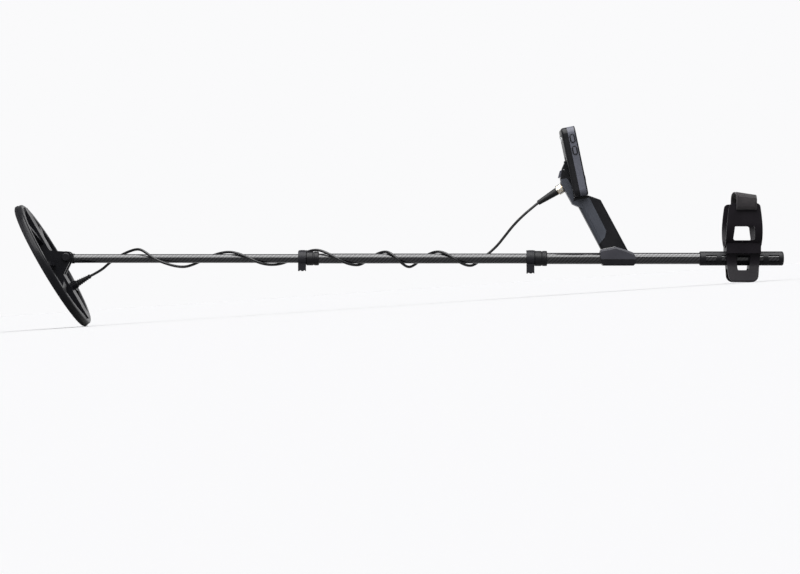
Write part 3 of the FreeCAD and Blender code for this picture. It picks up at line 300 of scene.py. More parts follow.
def display_glass(look):
    """Hard glass over a dark screen: a sharp reflection, fingerprints, and a generic level meter,
    its bars rising and falling, that glows faintly under it."""
    material, tree, shader = new_material("display glass", linear("#05070a"), Specular_IOR_Level=0.4,
                                          Emission_Strength=0.9)
    where = millimetres(tree, POD)
    smears = add(tree, "ShaderNodeTexNoise", {"Vector": where, "Scale": 1 / 14}).outputs[0]
    dull = add(tree, "ShaderNodeMapRange", {0: smears, 1: 0.3, 2: 0.7, 3: 0.03, 4: 0.12}).outputs[0]
    tree.links.new(dull, shader.inputs["Roughness"])
    axes = add(tree, "ShaderNodeSeparateXYZ", {0: where})
    column = add(tree, "ShaderNodeMath", {0: axes.outputs[1], 1: 5.0}, operation="DIVIDE").outputs[0]
    number = add(tree, "ShaderNodeMath", {0: column}, operation="FLOOR").outputs[0]
    level = add(tree, "ShaderNodeTexWhiteNoise", {"W": number}, noise_dimensions="1D").outputs[0]
    top = add(tree, "ShaderNodeMapRange", {0: level, 3: 62.0, 4: 108.0}).outputs[0]
    low = add(tree, "ShaderNodeMath", {0: axes.outputs[2], 1: 56.0}, operation="GREATER_THAN").outputs[0]
    high = add(tree, "ShaderNodeMath", {0: axes.outputs[2], 1: top}, operation="LESS_THAN").outputs[0]
    part = add(tree, "ShaderNodeMath", {0: column, 1: 1.0}, operation="FLOORED_MODULO").outputs[0]
    gap = add(tree, "ShaderNodeMath", {0: part, 1: 0.72}, operation="LESS_THAN").outputs[0]
    wide = add(tree, "ShaderNodeMath", {0: axes.outputs[1]}, operation="ABSOLUTE").outputs[0]
    within = add(tree, "ShaderNodeMath", {0: wide, 1: 30.0}, operation="LESS_THAN").outputs[0]
    bar = low
    for part in (high, gap, within):
        bar = add(tree, "ShaderNodeMath", {0: bar, 1: part}, operation="MULTIPLY").outputs[0]
    glow = add(tree, "ShaderNodeMix", {0: bar, 6: linear("#0b1216"), 7: look.screen},
               data_type="RGBA").outputs[2]
    tree.links.new(glow, shader.inputs["Emission Color"])
    return material


def woven_webbing(look):
    """Polyester webbing: ribs across the strap every 1.6 mm with a herringbone of threads on
    them; matt, with a faint fuzz at grazing angles."""
    material, tree, shader = new_material("polyester webbing", look.webbing, Sheen_Weight=0.08,
                                          Sheen_Roughness=0.5, Specular_IOR_Level=0.15)
    spot = add(tree, "ShaderNodeUVMap", uv_map="cloth").outputs[0]
    threads = []
    for pitch, lean in ((1.6, 0.0), (0.9, 0.8), (0.9, -0.8)):
        turn = add(tree, "ShaderNodeMapping", {"Vector": spot, "Rotation": (0, 0, lean),
                                               "Scale": [1 / pitch] * 3})
        threads.append(add(tree, "ShaderNodeTexWave", {"Vector": turn.outputs[0], "Scale": 1 / 2,
                                                       "Distortion": 0.4, "Detail": 1.0}).outputs[1])
    twill = add(tree, "ShaderNodeMath", {0: threads[1], 1: threads[2]}, operation="MULTIPLY").outputs[0]
    cloth = add(tree, "ShaderNodeMath", {0: threads[0], 1: twill}, operation="ADD").outputs[0]
    # painted shade and painted highlight: the webbing's own colour, darkened in the hollows of the weave and
    # lightened on its crests, following the same relief that the bump raises
    thread_shade_and_highlight = add(tree, "ShaderNodeMapRange", {0: cloth, 1: 0.2, 2: 1.4}).outputs[0]
    base = add(tree, "ShaderNodeMix", {0: thread_shade_and_highlight, 6: shade(look.webbing, 0.45), 7: shade(look.webbing, 1.3)},
               data_type="RGBA").outputs[2]
    worn = add(tree, "ShaderNodeTexNoise", {"Vector": millimetres(tree), "Scale": 1 / 9,
                                            "Detail": 3.0}).outputs[0]
    fade = add(tree, "ShaderNodeMapRange", {0: worn, 1: 0.3, 2: 0.7, 4: 0.35}).outputs[0]
    tone = add(tree, "ShaderNodeMix", {0: fade, 6: base, 7: shade(look.webbing, 1.9)},
               data_type="RGBA").outputs[2]
    tree.links.new(tone, shader.inputs["Base Color"])
    dull = add(tree, "ShaderNodeMapRange", {0: cloth, 1: 0.2, 2: 1.4, 3: 0.95, 4: 0.7}).outputs[0]
    tree.links.new(dull, shader.inputs["Roughness"])
    bump = add(tree, "ShaderNodeBump", {"Strength": 0.8, "Distance": 0.35 * MM, "Height": cloth})
    tree.links.new(bump.outputs[0], shader.inputs["Normal"])
    return material


# ---- meshes ----

def turned(profile, turns=96):
    """Faces of a turned shape: corners are (along, radius) in millimetres about the X axis."""
    mesh = bmesh.new()
    rings = []
    for along, radius in profile:
        if radius < 1e-6:
            rings.append([mesh.verts.new((along, 0, 0))])
            continue
        angles = [math.tau * i / turns for i in range(turns)]
        rings.append([mesh.verts.new((along, radius * math.cos(a), radius * math.sin(a))) for a in angles])
    if profile[0][1] > 0 and profile[-1][1] > 0:
        rings.append(rings[0])
    for back, ahead in zip(rings, rings[1:]):
        for i in range(turns):
            corners = [back[i % len(back)], back[(i + 1) % len(back)], ahead[(i + 1) % len(ahead)],
                       ahead[i % len(ahead)]]
            unique = list(dict.fromkeys(corners))
            if len(unique) > 2:
                mesh.faces.new(unique)
    bmesh.ops.recalc_face_normals(mesh, faces=mesh.faces)
    return mesh


def copied(node):
    """Faces of a CAD node with its doubles merged and its flats cleaned, in the object's frame."""
    mesh = bmesh.new()
    mesh.from_mesh(frame["nodes"][node].data)
    bmesh.ops.remove_doubles(mesh, verts=mesh.verts, dist=0.01 * MM)
    bmesh.ops.dissolve_limit(mesh, angle_limit=math.radians(0.6), verts=mesh.verts, edges=mesh.edges)
    return mesh


def baked(item):
    """Turn an object's modifiers into plain mesh."""
    graph = bpy.context.evaluated_depsgraph_get()
    mesh = bpy.data.meshes.new_from_object(item.evaluated_get(graph), depsgraph=graph)
    item.modifiers.clear()
    item.data = mesh
    return item


def make_piece(name, faces, material, body, stands_for=(), place=None, edge=0.0, segments=2, sharp=30):
    """A finished piece from faces: set in place, its edges rounded by so many millimetres,
    shaded, coloured, riding on a body and standing for CAD nodes."""
    mesh = bpy.data.meshes.new(name)
    if place is not None:
        bmesh.ops.transform(faces, matrix=place, verts=faces.verts)
    faces.to_mesh(mesh)
    faces.free()
    item = bpy.data.objects.new(name, mesh)
    bpy.context.scene.collection.objects.link(item)
    if edge:
        bevel = item.modifiers.new("rounding", "BEVEL")
        bevel.width = edge * MM
        bevel.segments = segments
        bevel.limit_method = "ANGLE"
        bevel.angle_limit = math.radians(sharp)
        bevel.use_clamp_overlap = True
        item.modifiers.new("shading", "WEIGHTED_NORMAL").keep_sharp = True
        for polygon in mesh.polygons:
            polygon.use_smooth = True
        baked(item)
    else:
        mesh.shade_smooth()
        mesh.set_sharp_from_angle(angle=math.radians(sharp))
    item.data.name = name
    item.data.materials.clear()
    item.data.materials.append(material)
    return settle(item, body, stands_for)


def settle(item, body, stands_for=()):
    """Hang a piece on the body that carries it, and hide the CAD nodes that it stands for."""
    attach(item, body)
    if stands_for:
        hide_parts(*stands_for)
    return item


def repeat_tree(name, sizes):
    """A geometry tree for copies of one small shape: its first input is a guide, the next ones are
    sizes and the last is the material.  It is returned with the sockets that it is given."""
    tree = bpy.data.node_groups.new(name, "GeometryNodeTree")
    tree.interface.new_socket("Guide", in_out="INPUT", socket_type="NodeSocketGeometry")
    for size, kind in sizes.items():
        tree.interface.new_socket(size, in_out="INPUT", socket_type=kind)
    tree.interface.new_socket("Material", in_out="INPUT", socket_type="NodeSocketMaterial")
    tree.interface.new_socket("Geometry", in_out="OUTPUT", socket_type="NodeSocketGeometry")
    return tree, add(tree, "NodeGroupInput").outputs


def close_tree(tree, given, copies):
    """Make a tree's copies real, colour them and send them out."""
    real = add(tree, "GeometryNodeRealizeInstances", {0: copies})
    coloured = add(tree, "GeometryNodeSetMaterial", {"Geometry": real.outputs[0],
                                                     "Material": given["Material"]})
    add(tree, "NodeGroupOutput", {"Geometry": coloured.outputs[0]})


def ridges_tree():
    """Ridges round a turned piece: low rounded bars along X, on a circle.  It needs no guide."""
    sizes = {"Ridges": "NodeSocketInt", "Radius": "NodeSocketFloat", "Length": "NodeSocketFloat",
             "Height": "NodeSocketFloat"}
    tree, given = repeat_tree("ridges round a ring", sizes)
    ring = add(tree, "GeometryNodeMeshCircle", {"Vertices": given["Ridges"], "Radius": given["Radius"]})
    number = add(tree, "GeometryNodeInputIndex").outputs[0]
    turn = add(tree, "ShaderNodeMath", {0: number, 1: math.tau}, operation="MULTIPLY").outputs[0]
    turn = add(tree, "ShaderNodeMath", {0: turn, 1: given["Ridges"]}, operation="DIVIDE").outputs[0]
    spin = add(tree, "ShaderNodeCombineXYZ", {"Z": turn})
    bar = add(tree, "GeometryNodeMeshCylinder", {"Vertices": 6, "Radius": given["Height"],
                                                 "Depth": given["Length"]})
    copies = add(tree, "GeometryNodeInstanceOnPoints", {"Points": ring.outputs[0], "Instance": bar.outputs[0],
                                                        "Rotation": spin.outputs[0]})
    upright = add(tree, "GeometryNodeTransform", {"Geometry": copies.outputs[0],
                                                  "Rotation": (0, math.radians(90), 0)})
    close_tree(tree, given, upright.outputs[0])
    return tree


def rows_tree():
    """Small round bars along the lines of the guide, one every pitch, each lying along its line."""
    sizes = {"Pitch": "NodeSocketFloat", "Length": "NodeSocketFloat", "Thickness": "NodeSocketFloat"}
    tree, given = repeat_tree("bars along a line", sizes)
    line = add(tree, "GeometryNodeMeshToCurve", {"Mesh": given["Guide"]})
    spaced = add(tree, "GeometryNodeResampleCurve", {"Curve": line.outputs[0], "Length": given["Pitch"]},
                 mode="LENGTH")
    points = add(tree, "GeometryNodeCurveToPoints", {"Curve": spaced.outputs[0]}, mode="EVALUATED")
    bar = add(tree, "GeometryNodeMeshCylinder", {"Vertices": 8, "Radius": given["Thickness"],
                                                 "Depth": given["Length"]})
    copies = add(tree, "GeometryNodeInstanceOnPoints", {"Points": points.outputs["Points"],
                                                        "Instance": bar.outputs[0],
                                                        "Rotation": points.outputs["Rotation"]})
    close_tree(tree, given, copies.outputs[0])
    return tree


def repeated(name, tree, guide, values, body, place, material):
    """Run a geometry tree over a guide and keep what it makes as plain mesh.  A guide is lines of
    points in a frame, and the sizes that go with it are in metres.  Without a guide, the tree's shape
    is made at the origin and set in the frame."""
    corners, edges = [], []
    for line in guide:
        start = len(corners)
        corners += [place @ Vector(point) for point in line]
        edges += [(i, i + 1) for i in range(start, len(corners) - 1)]
    mesh = bpy.data.meshes.new(name)
    mesh.from_pydata(corners, edges, [])
    item = bpy.data.objects.new(name, mesh)
    bpy.context.scene.collection.objects.link(item)
    modifier = item.modifiers.new(name, "NODES")
    modifier.node_group = tree
    for socket in tree.interface.items_tree:
        if socket.in_out == "INPUT" and socket.name != "Guide":
            modifier[socket.identifier] = material if socket.name == "Material" else values[socket.name]
    baked(item)
    item.data.name = name
    if not guide:
        item.data.transform(place)
    if not item.data.polygons:
        raise RuntimeError(f"{name} came out empty")
    item.data.set_sharp_from_angle(angle=math.radians(40))
    return settle(item, body)


def refine(node, material, edge, segments=2):
    """The CAD node's own shape with rounded edges."""
    return make_piece(node + "_moulding", copied(node), material, BODY_OF[node], (node,), edge=edge,
                      segments=segments)


def paint(node, material):
    """Give a CAD node that stays a better material."""
    mesh = frame["nodes"][node].data
    mesh.materials.clear()
    mesh.materials.append(material)


# ---- the sizes and colours that a user may change ----

def size_property(name, description, value):
    """A length in metres that a user may change."""
    return bpy.props.FloatProperty(name=name, description=description, default=value, unit="LENGTH", min=0)


def colour_property(name, description, colour):
    """A colour that a user may change, given as sRGB hex."""
    return bpy.props.FloatVectorProperty(name=name, description=description, default=linear(colour), size=4,
                                         subtype="COLOR", min=0, max=1)


class DetectorSizes(bpy.types.PropertyGroup):
    """Sizes of what is made here and not in the CAD"""
    tow_width: size_property("Tow width", "Width of one tow of the carbon weave", 0.00186)
    cable: size_property("Cable", "Diameter of the coil's cable", 0.005)
    webbing: size_property("Webbing", "Thickness of the arm strap's webbing", 0.0018)
    stitch: size_property("Stitch", "Length of one stitch in the arm strap", 0.003)
    ridges: bpy.props.IntProperty(name="Plug ridges", description="Ridges round the plug's ring", default=40,
                                  min=3)


class DetectorColours(bpy.types.PropertyGroup):
    """Colours of the detector's finishes and of the studio"""
    carbon_dark: colour_property("Carbon, round", "Tows that run round the shaft", "#050506")
    # a painted sheen: the same black carbon, painted lighter where its tows run along the shaft
    carbon_sheen_along: colour_property("Carbon, along", "Tows that run along the shaft", "#151518")
    nylon: colour_property("Nylon", "Collars, yoke, track and cap", "#08080a")
    lever: colour_property("Levers", "Lock levers", "#0d0d10")
    coil: colour_property("Coil", "Search coil's housing", "#060608")
    skid: colour_property("Skid plate", "Plate under the coil", "#08080a")
    saddle: colour_property("Saddle", "Clamp between handle and shaft", "#212125")
    grip: colour_property("Grip", "Moulded grip", "#070709")
    panel: colour_property("Grip panels", "Soft front part of the grip", "#27292e")
    pod: colour_property("Pod", "Control pod's housing", "#070709")
    band: colour_property("Pod band", "Band round the pod's edge", "#35363c")
    cuff: colour_property("Cuff", "Arm cuff and stand", "#0b090c")
    webbing: colour_property("Webbing", "Arm strap", "#0f0c0e")
    cable: colour_property("Cable", "Jacket of the coil's cable", "#09090a")
    key: colour_property("Keys", "Rubber keys", "#1a1b1f")
    screen: colour_property("Screen", "Level meter on the display", "#7fc4b0")
    plating: colour_property("Plating", "Plating on the plug", "#a19f98")
    brass: colour_property("Brass", "Brass under the plating", "#8a6d3f")
    wall: colour_property("Studio", "Floor and background", "#fafafb")


# ---- cable ----

# where the wound cable passes behind, over, in front of and under the shaft, quarter turn by
# quarter turn: distance along the shaft and distance from its axis, in millimetres
QUARTERS = [(88, 15.5), (133, 18.8), (163, 15.5), (217.5, 17), (258, 13.4), (303.5, 13), (343, 12.8),
            (380.5, 12.2), (424, 16.4), (467, 17.2), (505.5, 14.4), (543, 13.2), (566, 13.2), (595.5, 13.4),
            (618, 14.4), (640.5, 17.2), (664, 14.2), (694.5, 13.6), (724.5, 13.9), (754.5, 14.5), (777, 14)]
BOOT_END = (51, 20, 18)                # in the coil's frame
PLUG_END = (-49.8, 0, 0)               # in the plug's frame
# the rest of the route, in the shaft's frame: up to the first turn, and from the last one to the plug
LEAD_START = [(61, 20, -22.5), (75, 18.5, -10)]
TAIL = [(792, 13.6, 11.5), (806, 11.5, 24.5), (819, 9, 41), (833, 6, 59), (848, 3.2, 75), (864, 0.9, 89.5)]


def wound_points():
    """The route's corners round the shaft, eight to a turn: the quarters and the places halfway."""
    points = []
    for i in range(2 * len(QUARTERS) - 1):
        before, after = QUARTERS[i // 2], QUARTERS[(i + 1) // 2]
        along = (before[0] + after[0]) / 2
        radius = (before[1] + after[1]) / 2
        turn = math.radians(45 * i)
        points.append(shaft_point(along, radius * math.cos(turn), radius * math.sin(turn)))
    return points


def spline_object(name, points, bevel=0.0):
    """A smooth line through a route, as a NURBS curve with the route's points for its corners."""
    curve = bpy.data.curves.new(name, "CURVE")
    curve.dimensions = "3D"
    curve.resolution_u = 8
    curve.bevel_depth = bevel
    curve.bevel_resolution = 5
    curve.use_fill_caps = True
    spline = curve.splines.new("NURBS")
    spline.points.add(len(points) - 1)
    for corner, point in zip(spline.points, points):
        corner.co = (*point, 1)
    spline.order_u = 3
    spline.use_endpoint_u = True
    item = bpy.data.objects.new(name, curve)
    bpy.context.scene.collection.objects.link(item)
    return item


def line_of(points):
    """The points along a route's smooth line."""
    item = spline_object("line", points)
    line = bpy.data.meshes.new_from_object(item)
    found = [vertex.co.copy() for vertex in line.vertices]
    bpy.data.objects.remove(item)
    return found


def cable_tube(name, points, diameter):
    """A length of cable as a mesh tube."""
    item = spline_object(name, points, diameter / 2)
    mesh = bpy.data.meshes.new_from_object(item)
    bpy.data.objects.remove(item)
    mesh.name = name
    tube = bpy.data.objects.new(name, mesh)
    bpy.context.scene.collection.objects.link(tube)
    mesh.shade_smooth()
    return tube


class DETECTOR_OT_cable(bpy.types.Operator):
    """Wind the coil's cable round the shaft, in five lengths that follow its sections"""
    bl_idname = "detector.cable"
    bl_label = "Cable"

    def execute(self, context):
        sizes, look = context.scene.detector_sizes, context.scene.detector_colours
        lead = [COIL @ Vector(BOOT_END)] + [shaft_point(*point) for point in LEAD_START]
        wound = wound_points()
        route = lead + wound + [shaft_point(*point) for point in TAIL] + [PLUG @ Vector(PLUG_END)]
        # the corners after which the route is cut: before the turns, on either side of the first
        # lock, and after the turns
        first = len(lead)
        breaks = [first - 1, first + 15, first + 18, first + len(wound) - 1]
        # a length that crosses a joint lists the next body and the stretch of the shaft where it would bend
        # between the two; it rides on neither and stays where it is made
        lengths = [("cable_coil_lead", "coil", ("lower_shaft", (41, 81))),
                   ("cable_lower_wrap", "lower_shaft", ("middle_shaft", (81, 413))),
                   ("cable_past_lock", "middle_shaft", None),
                   ("cable_middle_wrap", "middle_shaft", ("handle", (487, 784))),
                   ("cable_tail", "handle", None)]
        material = cable_rubber(look)
        # two lengths meet halfway between the corners on either side of a cut
        middles = [(route[i] + route[i + 1]) / 2 for i in breaks]
        starts = [0] + [i + 1 for i in breaks]
        ends = breaks + [len(route) - 1]
        for number, (node, body, bend) in enumerate(lengths):
            points = route[starts[number]:ends[number] + 1]
            if number > 0:
                points = [middles[number - 1]] + points
            if number < len(breaks):
                points = points + [middles[number]]
            line = line_of(points)
            tube = cable_tube(node + "_jacket", points, sizes.cable)
            tube.data.materials.append(material)
            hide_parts(node)
            if bend:
                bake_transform(tube)
            else:
                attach(tube, body)
        return {"FINISHED"}


# ---- search coil ----

class DETECTOR_OT_coil(bpy.types.Operator):
    """Make the search coil, its skid plate, cable boot and pivot"""
    bl_idname = "detector.coil"
    bl_label = "Search coil"

    def execute(self, context):
        look = context.scene.detector_colours
        housing = coil_plastic(look)
        refine("coil_shell", housing, 1.2, 3)
        refine("skid_plate", skid_plastic(look), 0.6)
        # moulded PVC strain relief: soft, so its highlights are wide and dim
        boot = moulded("moulded cable boot", look.cable, 0.5, 0.9, 0.05)
        refine("cable_boot", boot, 0.3)
        # nylon bolt and nut, which don't disturb the coil: smoother than the yoke they clamp
        bolt = moulded("glass-filled nylon bolt", look.nylon, 0.34, 0.8, 0.04)
        refine("pivot_bolt", bolt, 0.4)
        refine("pivot_nut", bolt, 0.4)
        paint("coil_base", housing)
        # enamelled copper wire: red-brown with a metal's glint under its lacquer
        copper = moulded("enamelled copper winding", linear("#6b3418"), 0.35, 0.6, 0.2, 0.3, Metallic=0.6)
        paint("transmit_winding", copper)
        paint("receive_winding", copper)
        return {"FINISHED"}


# ---- shaft ----

TUBE_WALL = 1.0
TUBE_EDGE = 0.2                        # the tubes' ends are broken by this much
TOWS_ROUND = {"lower_tube": 28, "middle_tube": 32, "upper_tube": 36}


class DETECTOR_OT_shaft(bpy.types.Operator):
    """Make the carbon sections, their lock collars and levers, the yoke and the end cap"""
    bl_idname = "detector.shaft"
    bl_label = "Shaft"

    def execute(self, context):
        sizes, look = context.scene.detector_sizes, context.scene.detector_colours
        # moulded nylon with glass in it: black, with a satin skin that breaks up the light
        nylon = moulded("glass-filled nylon", look.nylon, 0.42, 0.9, 0.05)
        # the same nylon from a rougher tool, for the thumb: the levers look matt beside the collars
        lever = moulded("textured nylon lever", look.lever, 0.5, 1.4, 0.14)
        steel = brushed_steel()
        for node, tows in TOWS_ROUND.items():
            low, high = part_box(node)
            outside = (high.y - low.y) / 2 / MM
            inside = outside - TUBE_WALL
            front, rear = tube_ends(node)
            profile = [(front, inside), (rear, inside), (rear, outside - TUBE_EDGE),
                       (rear - TUBE_EDGE, outside), (front + TUBE_EDGE, outside),
                       (front, outside - TUBE_EDGE)]
            weave = carbon_twill("carbon twill " + node, tows, look, sizes)
            make_piece(node + "_weave", turned(profile, 128), weave, BODY_OF[node], (node,),
                       SHAFT)
        for node in ("lock_collar_1", "lock_collar_2"):
            refine(node, nylon, 0.25)
        for node in ("lock_lever_1", "lock_lever_2"):
            refine(node, lever, 0.5, 3)
        refine("lower_yoke", nylon, 0.5)
        refine("arm_track", nylon, 0.3)
        refine("end_cap", nylon, 0.5, 3)
        for node in ("lock_pin_1", "lock_pin_2", "trigger_pin"):
            paint(node, steel)
        for node in ("friction_washers", "lower_tube_bush", "middle_tube_bush"):
            paint(node, nylon)
        return {"FINISHED"}


def tube_ends(node):
    """Where a tube begins and ends along the shaft."""
    back = SHAFT.inverted()
    places = [(back @ vertex.co).x for vertex in frame["nodes"][node].data.vertices]
    return min(places), max(places)


# ---- handle ----

# outlines of the soft front parts, (x, z) in the shaft's frame
GRIP_FRONT = [(930, 98), (957, 110), (976.5, 113), (1008, 51), (1005.5, 39), (995.4, 27.3), (975, 27.3)]
SOCKET_ARM = [(915, 146), (934, 149.5), (938, 145), (953, 118), (958, 95), (915, 95)]
NUB_AT = (932.6, 0, 179.5)


class DETECTOR_OT_handle(bpy.types.Operator):
    """Make the saddle, the grip, the socket housing and the trigger"""
    bl_idname = "detector.handle"
    bl_label = "Handle"

    def execute(self, context):
        look = context.scene.detector_colours
        # glass-filled nylon in charcoal: a shade lighter and duller than the grip above it
        saddle = moulded("moulded saddle nylon", look.saddle, 0.44, 1.0, 0.06)
        # fine-textured black ABS: a satin sheen on its facets and a brighter line on their edges
        grip = moulded("moulded grip ABS", look.grip, 0.36, 1.0, 0.05)
        # soft-touch rubber in blue-grey: the light spreads over it with no clear highlight
        panel = moulded("soft-touch grip panel", look.panel, 0.5, 0.8, 0.05)
        # two-shot mouldings: the black ABS again, with the panel's blue-grey moulded into its front
        # part, which runs from the grip up into the arm that holds the socket
        shell = second_shot(moulded("two-shot grip", look.grip, 0.36, 1.0, 0.05), look.panel, SHAFT,
                            GRIP_FRONT)
        housing = second_shot(moulded("two-shot socket housing", look.grip, 0.36, 1.0, 0.05), look.panel,
                              SHAFT, SOCKET_ARM)
        # polished ABS in the band's grey: the glossiest moulding of the handle
        pull = moulded("moulded trigger", look.band, 0.3, 0.8, 0.03)
        # heat-shrunk sleeve over a lithium cell: thin glossy blue film
        cell = moulded("shrink-wrapped cell", linear("#1d4f7a"), 0.3, 2.0, 0.03)
        refine("saddle", saddle, 0.5, 3)
        refine("saddle_cap", grip, 0.7, 3)
        for side in ("left", "right"):
            refine(f"grip_{side}_shell", shell, 0.6, 3)
            refine(f"grip_{side}_panel", panel, 0.4, 3)
        refine("socket_housing", housing, 1.2, 3)
        refine("trigger", pull, 0.5, 3)
        # the knob above the socket: half of its section, turned about an axis across the handle
        nub = [(-6, 0), (-6, 2.4), (-5.4, 3), (5.4, 3), (6, 2.4), (6, 0)]
        make_piece("housing_nub", turned(nub, 32), grip, "handle",
                   place=SHAFT @ Matrix.Translation(NUB_AT) @ ACROSS)
        paint("handle_screws", brushed_steel())
        paint("battery_cell", cell)
        return {"FINISHED"}


# ---- control pod ----

# places in the pod's frame: X out of its face, towards the operator, Y across it and Z up it
POD_BACK = -25.9
BUTTON_HEIGHTS = (108, 85.5)
BUTTON_PAD = (-10.6, -5.6, 6)          # a pad's back, its front and half its height
GRILLE_ROWS = (-9, -6, -3, 0, 3, 6, 9)
GRILLE_SPAN = (52.0, 76.0)
POD_SCREWS = ((-30, 14), (30, 14), (-30, 117), (30, 117))


class DETECTOR_OT_pod(bpy.types.Operator):
    """Make the control pod: housing, band, bezel, glass, keys and side buttons"""
    bl_idname = "detector.pod"
    bl_label = "Control pod"

    def execute(self, context):
        look = context.scene.detector_colours
        # the grip's black ABS, a little duller
        housing = moulded("moulded pod ABS", look.pod, 0.38, 1.0, 0.05)
        # ABS under grey paint: smooth, so it shows one even tone along the pod's side
        band = moulded("painted pod band", look.band, 0.34, 0.7, 0.03)
        # silicone rubber: the mattest piece of the pod
        key = moulded("silicone key", look.key, 0.6, 0.8, 0.04)
        refine("pod_rear_housing", housing, 0.6, 3)
        refine("pod_side_band", band, 0.35, 2)
        refine("pod_front_bezel", housing, 0.4, 2)
        refine("display_lens", display_glass(look), 0.12)
        back, front, half = BUTTON_PAD
        for number, height in enumerate(BUTTON_HEIGHTS, start=1):
            # black at its rim, with the band's grey in its middle
            top, foot = height + half, height - half
            pad = [(back, top), (front, top), (front, foot), (back, foot)]
            button = second_shot(moulded(f"side button {number}", look.grip, 0.5, 0.8, 0.04), look.band, POD,
                                 pad)
            refine(f"side_button_{number}", button, 0.6, 3)
        for number in (1, 2, 3, 4):
            refine(f"key_{number}", key, 0.6, 3)
        # glass laminate under green solder mask: glossy and a little uneven
        board = moulded("solder-masked board", linear("#0f4a2a"), 0.3, 3.0, 0.1)
        for node in ("main_board", "display_module", "speaker"):
            paint(node, board)
        # clear acrylic: polished, and light passes into it
        lens = moulded("clear torch lens", linear("#c8ccd0"), 0.1, 2.0, 0.01, Transmission_Weight=0.6)
        paint("torch_lens", lens)
        low, high = GRILLE_SPAN
        grille = [[(POD_BACK, across, low), (POD_BACK, across, high)] for across in GRILLE_ROWS]
        bars = {"Pitch": 0.004, "Length": 0.0034, "Thickness": 0.0007}
        repeated("speaker_grille", rows_tree(), grille, bars, "handle", POD, housing)
        # blackened steel: dark, with a metal's narrow glint
        screw = [(-0.3, 0), (-0.3, 1.2), (-0.6, 1.4), (-0.6, 2.6), (-0.2, 2.9), (1.5, 2.9), (1.5, 0)]
        steel = moulded("blackened screw", linear("#2b2b2d"), 0.35, 0.4, 0.02, Metallic=1.0)
        for number, (across, up) in enumerate(POD_SCREWS, start=1):
            place = POD @ Matrix.Translation((POD_BACK - 0.3, across, up))
            make_piece(f"pod_screw_{number}", turned(screw, 24), steel, "handle", place=place)
        return {"FINISHED"}


# ---- plug ----

class DETECTOR_OT_plug(bpy.types.Operator):
    """Make the cable's plug with its ring, and the socket"""
    bl_idname = "detector.plug"
    bl_label = "Plug"

    def execute(self, context):
        sizes, look = context.scene.detector_sizes, context.scene.detector_colours
        metal = plated_brass(look)
        # moulded PVC, like the boot at the coil, a little glossier
        rubber = moulded("moulded plug boot", look.cable, 0.45, 0.9, 0.05)
        refine("plug_boot", rubber, 0.3)
        refine("plug_body", metal, 0.2)
        refine("plug_ring", metal, 0.25)
        refine("coil_socket", metal, 0.2)
        # known fault: these sizes are in metres and the plug's frame is in millimetres, so the ridges
        # come out a thousand times too small, hidden inside the plug
        ridges = {"Ridges": sizes.ridges, "Radius": 0.0092, "Length": 0.0075, "Height": 0.0004}
        repeated("plug_ring_knurl", ridges_tree(), [], ridges, "plug_ring",
                 PLUG @ Matrix.Translation((-1.4, 0, 0)), metal)
        # polished ABS in the panel's blue-grey
        collar = moulded("moulded socket collar", look.panel, 0.3, 0.8, 0.03)
        rim = [(5.2, 8.3), (5.2, 10.4), (6.2, 11.4), (12, 11.4), (14, 10.4), (14, 8.3)]
        make_piece("socket_collar", turned(rim, 64), collar, "handle", place=PLUG)
        ring = [(4.7, 8.1), (4.7, 9.6), (5.4, 10.0), (6.0, 10.0), (6.0, 8.1)]
        make_piece("socket_ring", turned(ring, 64), metal, "handle", place=PLUG)
        return {"FINISHED"}


# ---- arm rest ----

STRAP_WIDE = 38.0
STRAP_MIDDLE = 1265.3                  # along the shaft
# the strap's middle line seen along the shaft: up the far cheek of the cuff, over the arm, down
# the near cheek, and back up on itself where it is fastened
STRAP = [(49.2, 92), (49.6, 104), (46.0, 112.6), (36, 117), (18, 119.8), (0, 120.6), (-18, 119.8),
         (-36, 117), (-46.0, 112.6), (-49.2, 104), (-49.0, 94), (-49.6, 90.6), (-52.6, 90.4), (-53.6, 94),
         (-53.0, 105), (-49.6, 114.6), (-42, 119.4)]
STITCH_EDGE = 15.5                     # from the strap's middle to the box of stitches


class DETECTOR_OT_arm_rest(bpy.types.Operator):
    """Make the arm cuff, its stand and the webbing strap"""
    bl_idname = "detector.arm_rest"
    bl_label = "Arm rest"

    def execute(self, context):
        sizes, look = context.scene.detector_sizes, context.scene.detector_colours
        # plain nylon, warm black: thick, with a dim satin sheen
        cuff = moulded("moulded cuff nylon", look.cuff, 0.4, 1.0, 0.05, Specular_IOR_Level=0.06)
        refine("arm_cuff", cuff, 0.6, 3)
        refine("stand", cuff, 0.4, 3)
        strap, length = webbing_strap("arm_strap_webbing", woven_webbing(look), sizes.webbing / MM)
        settle(strap, "cuff", ("arm_strap",))
        # twisted polyester thread: darker than the webbing, and matt
        thread = moulded("polyester thread", shade(look.webbing, 0.6), 0.7, 0.4, 0.05)
        stitch = {"Pitch": sizes.stitch * 1.3, "Length": sizes.stitch, "Thickness": 0.0004}
        stitches = repeated("strap_stitches", rows_tree(), stitch_lines(), stitch, "cuff", SHAFT,
                            thread)
        return {"FINISHED"}


def strap_line():
    """The strap's middle line, smooth, in millimetres."""
    return [point / MM for point in line_of([Vector((0, y, z)) * MM for y, z in STRAP])]


def strap_point(middle, across):
    """A point of the strap, whose front edge rides higher than its rear one over the arm."""
    lean = max(0.0, min(1.0, (middle.z - 92) / 26)) * -0.15
    return Vector((STRAP_MIDDLE + across, middle.y, middle.z + lean * across))


def strap_section():
    """The strap's section, corner by corner: places across it in millimetres, and how far each is
    from its middle as a share of its thickness."""
    half = STRAP_WIDE / 2
    flat = half - 0.6
    section = [(-half, -0.2), (-half, 0.2)]
    section += [(-flat + i * 2 * flat / 6, 0.5) for i in range(7)]
    # known fault: the next two are in the wrong order, so the strap's rear edge crosses over itself
    section += [(half, -0.2), (half, 0.2)]
    return section + [(across, -off) for across, off in reversed(section[2:-2])]


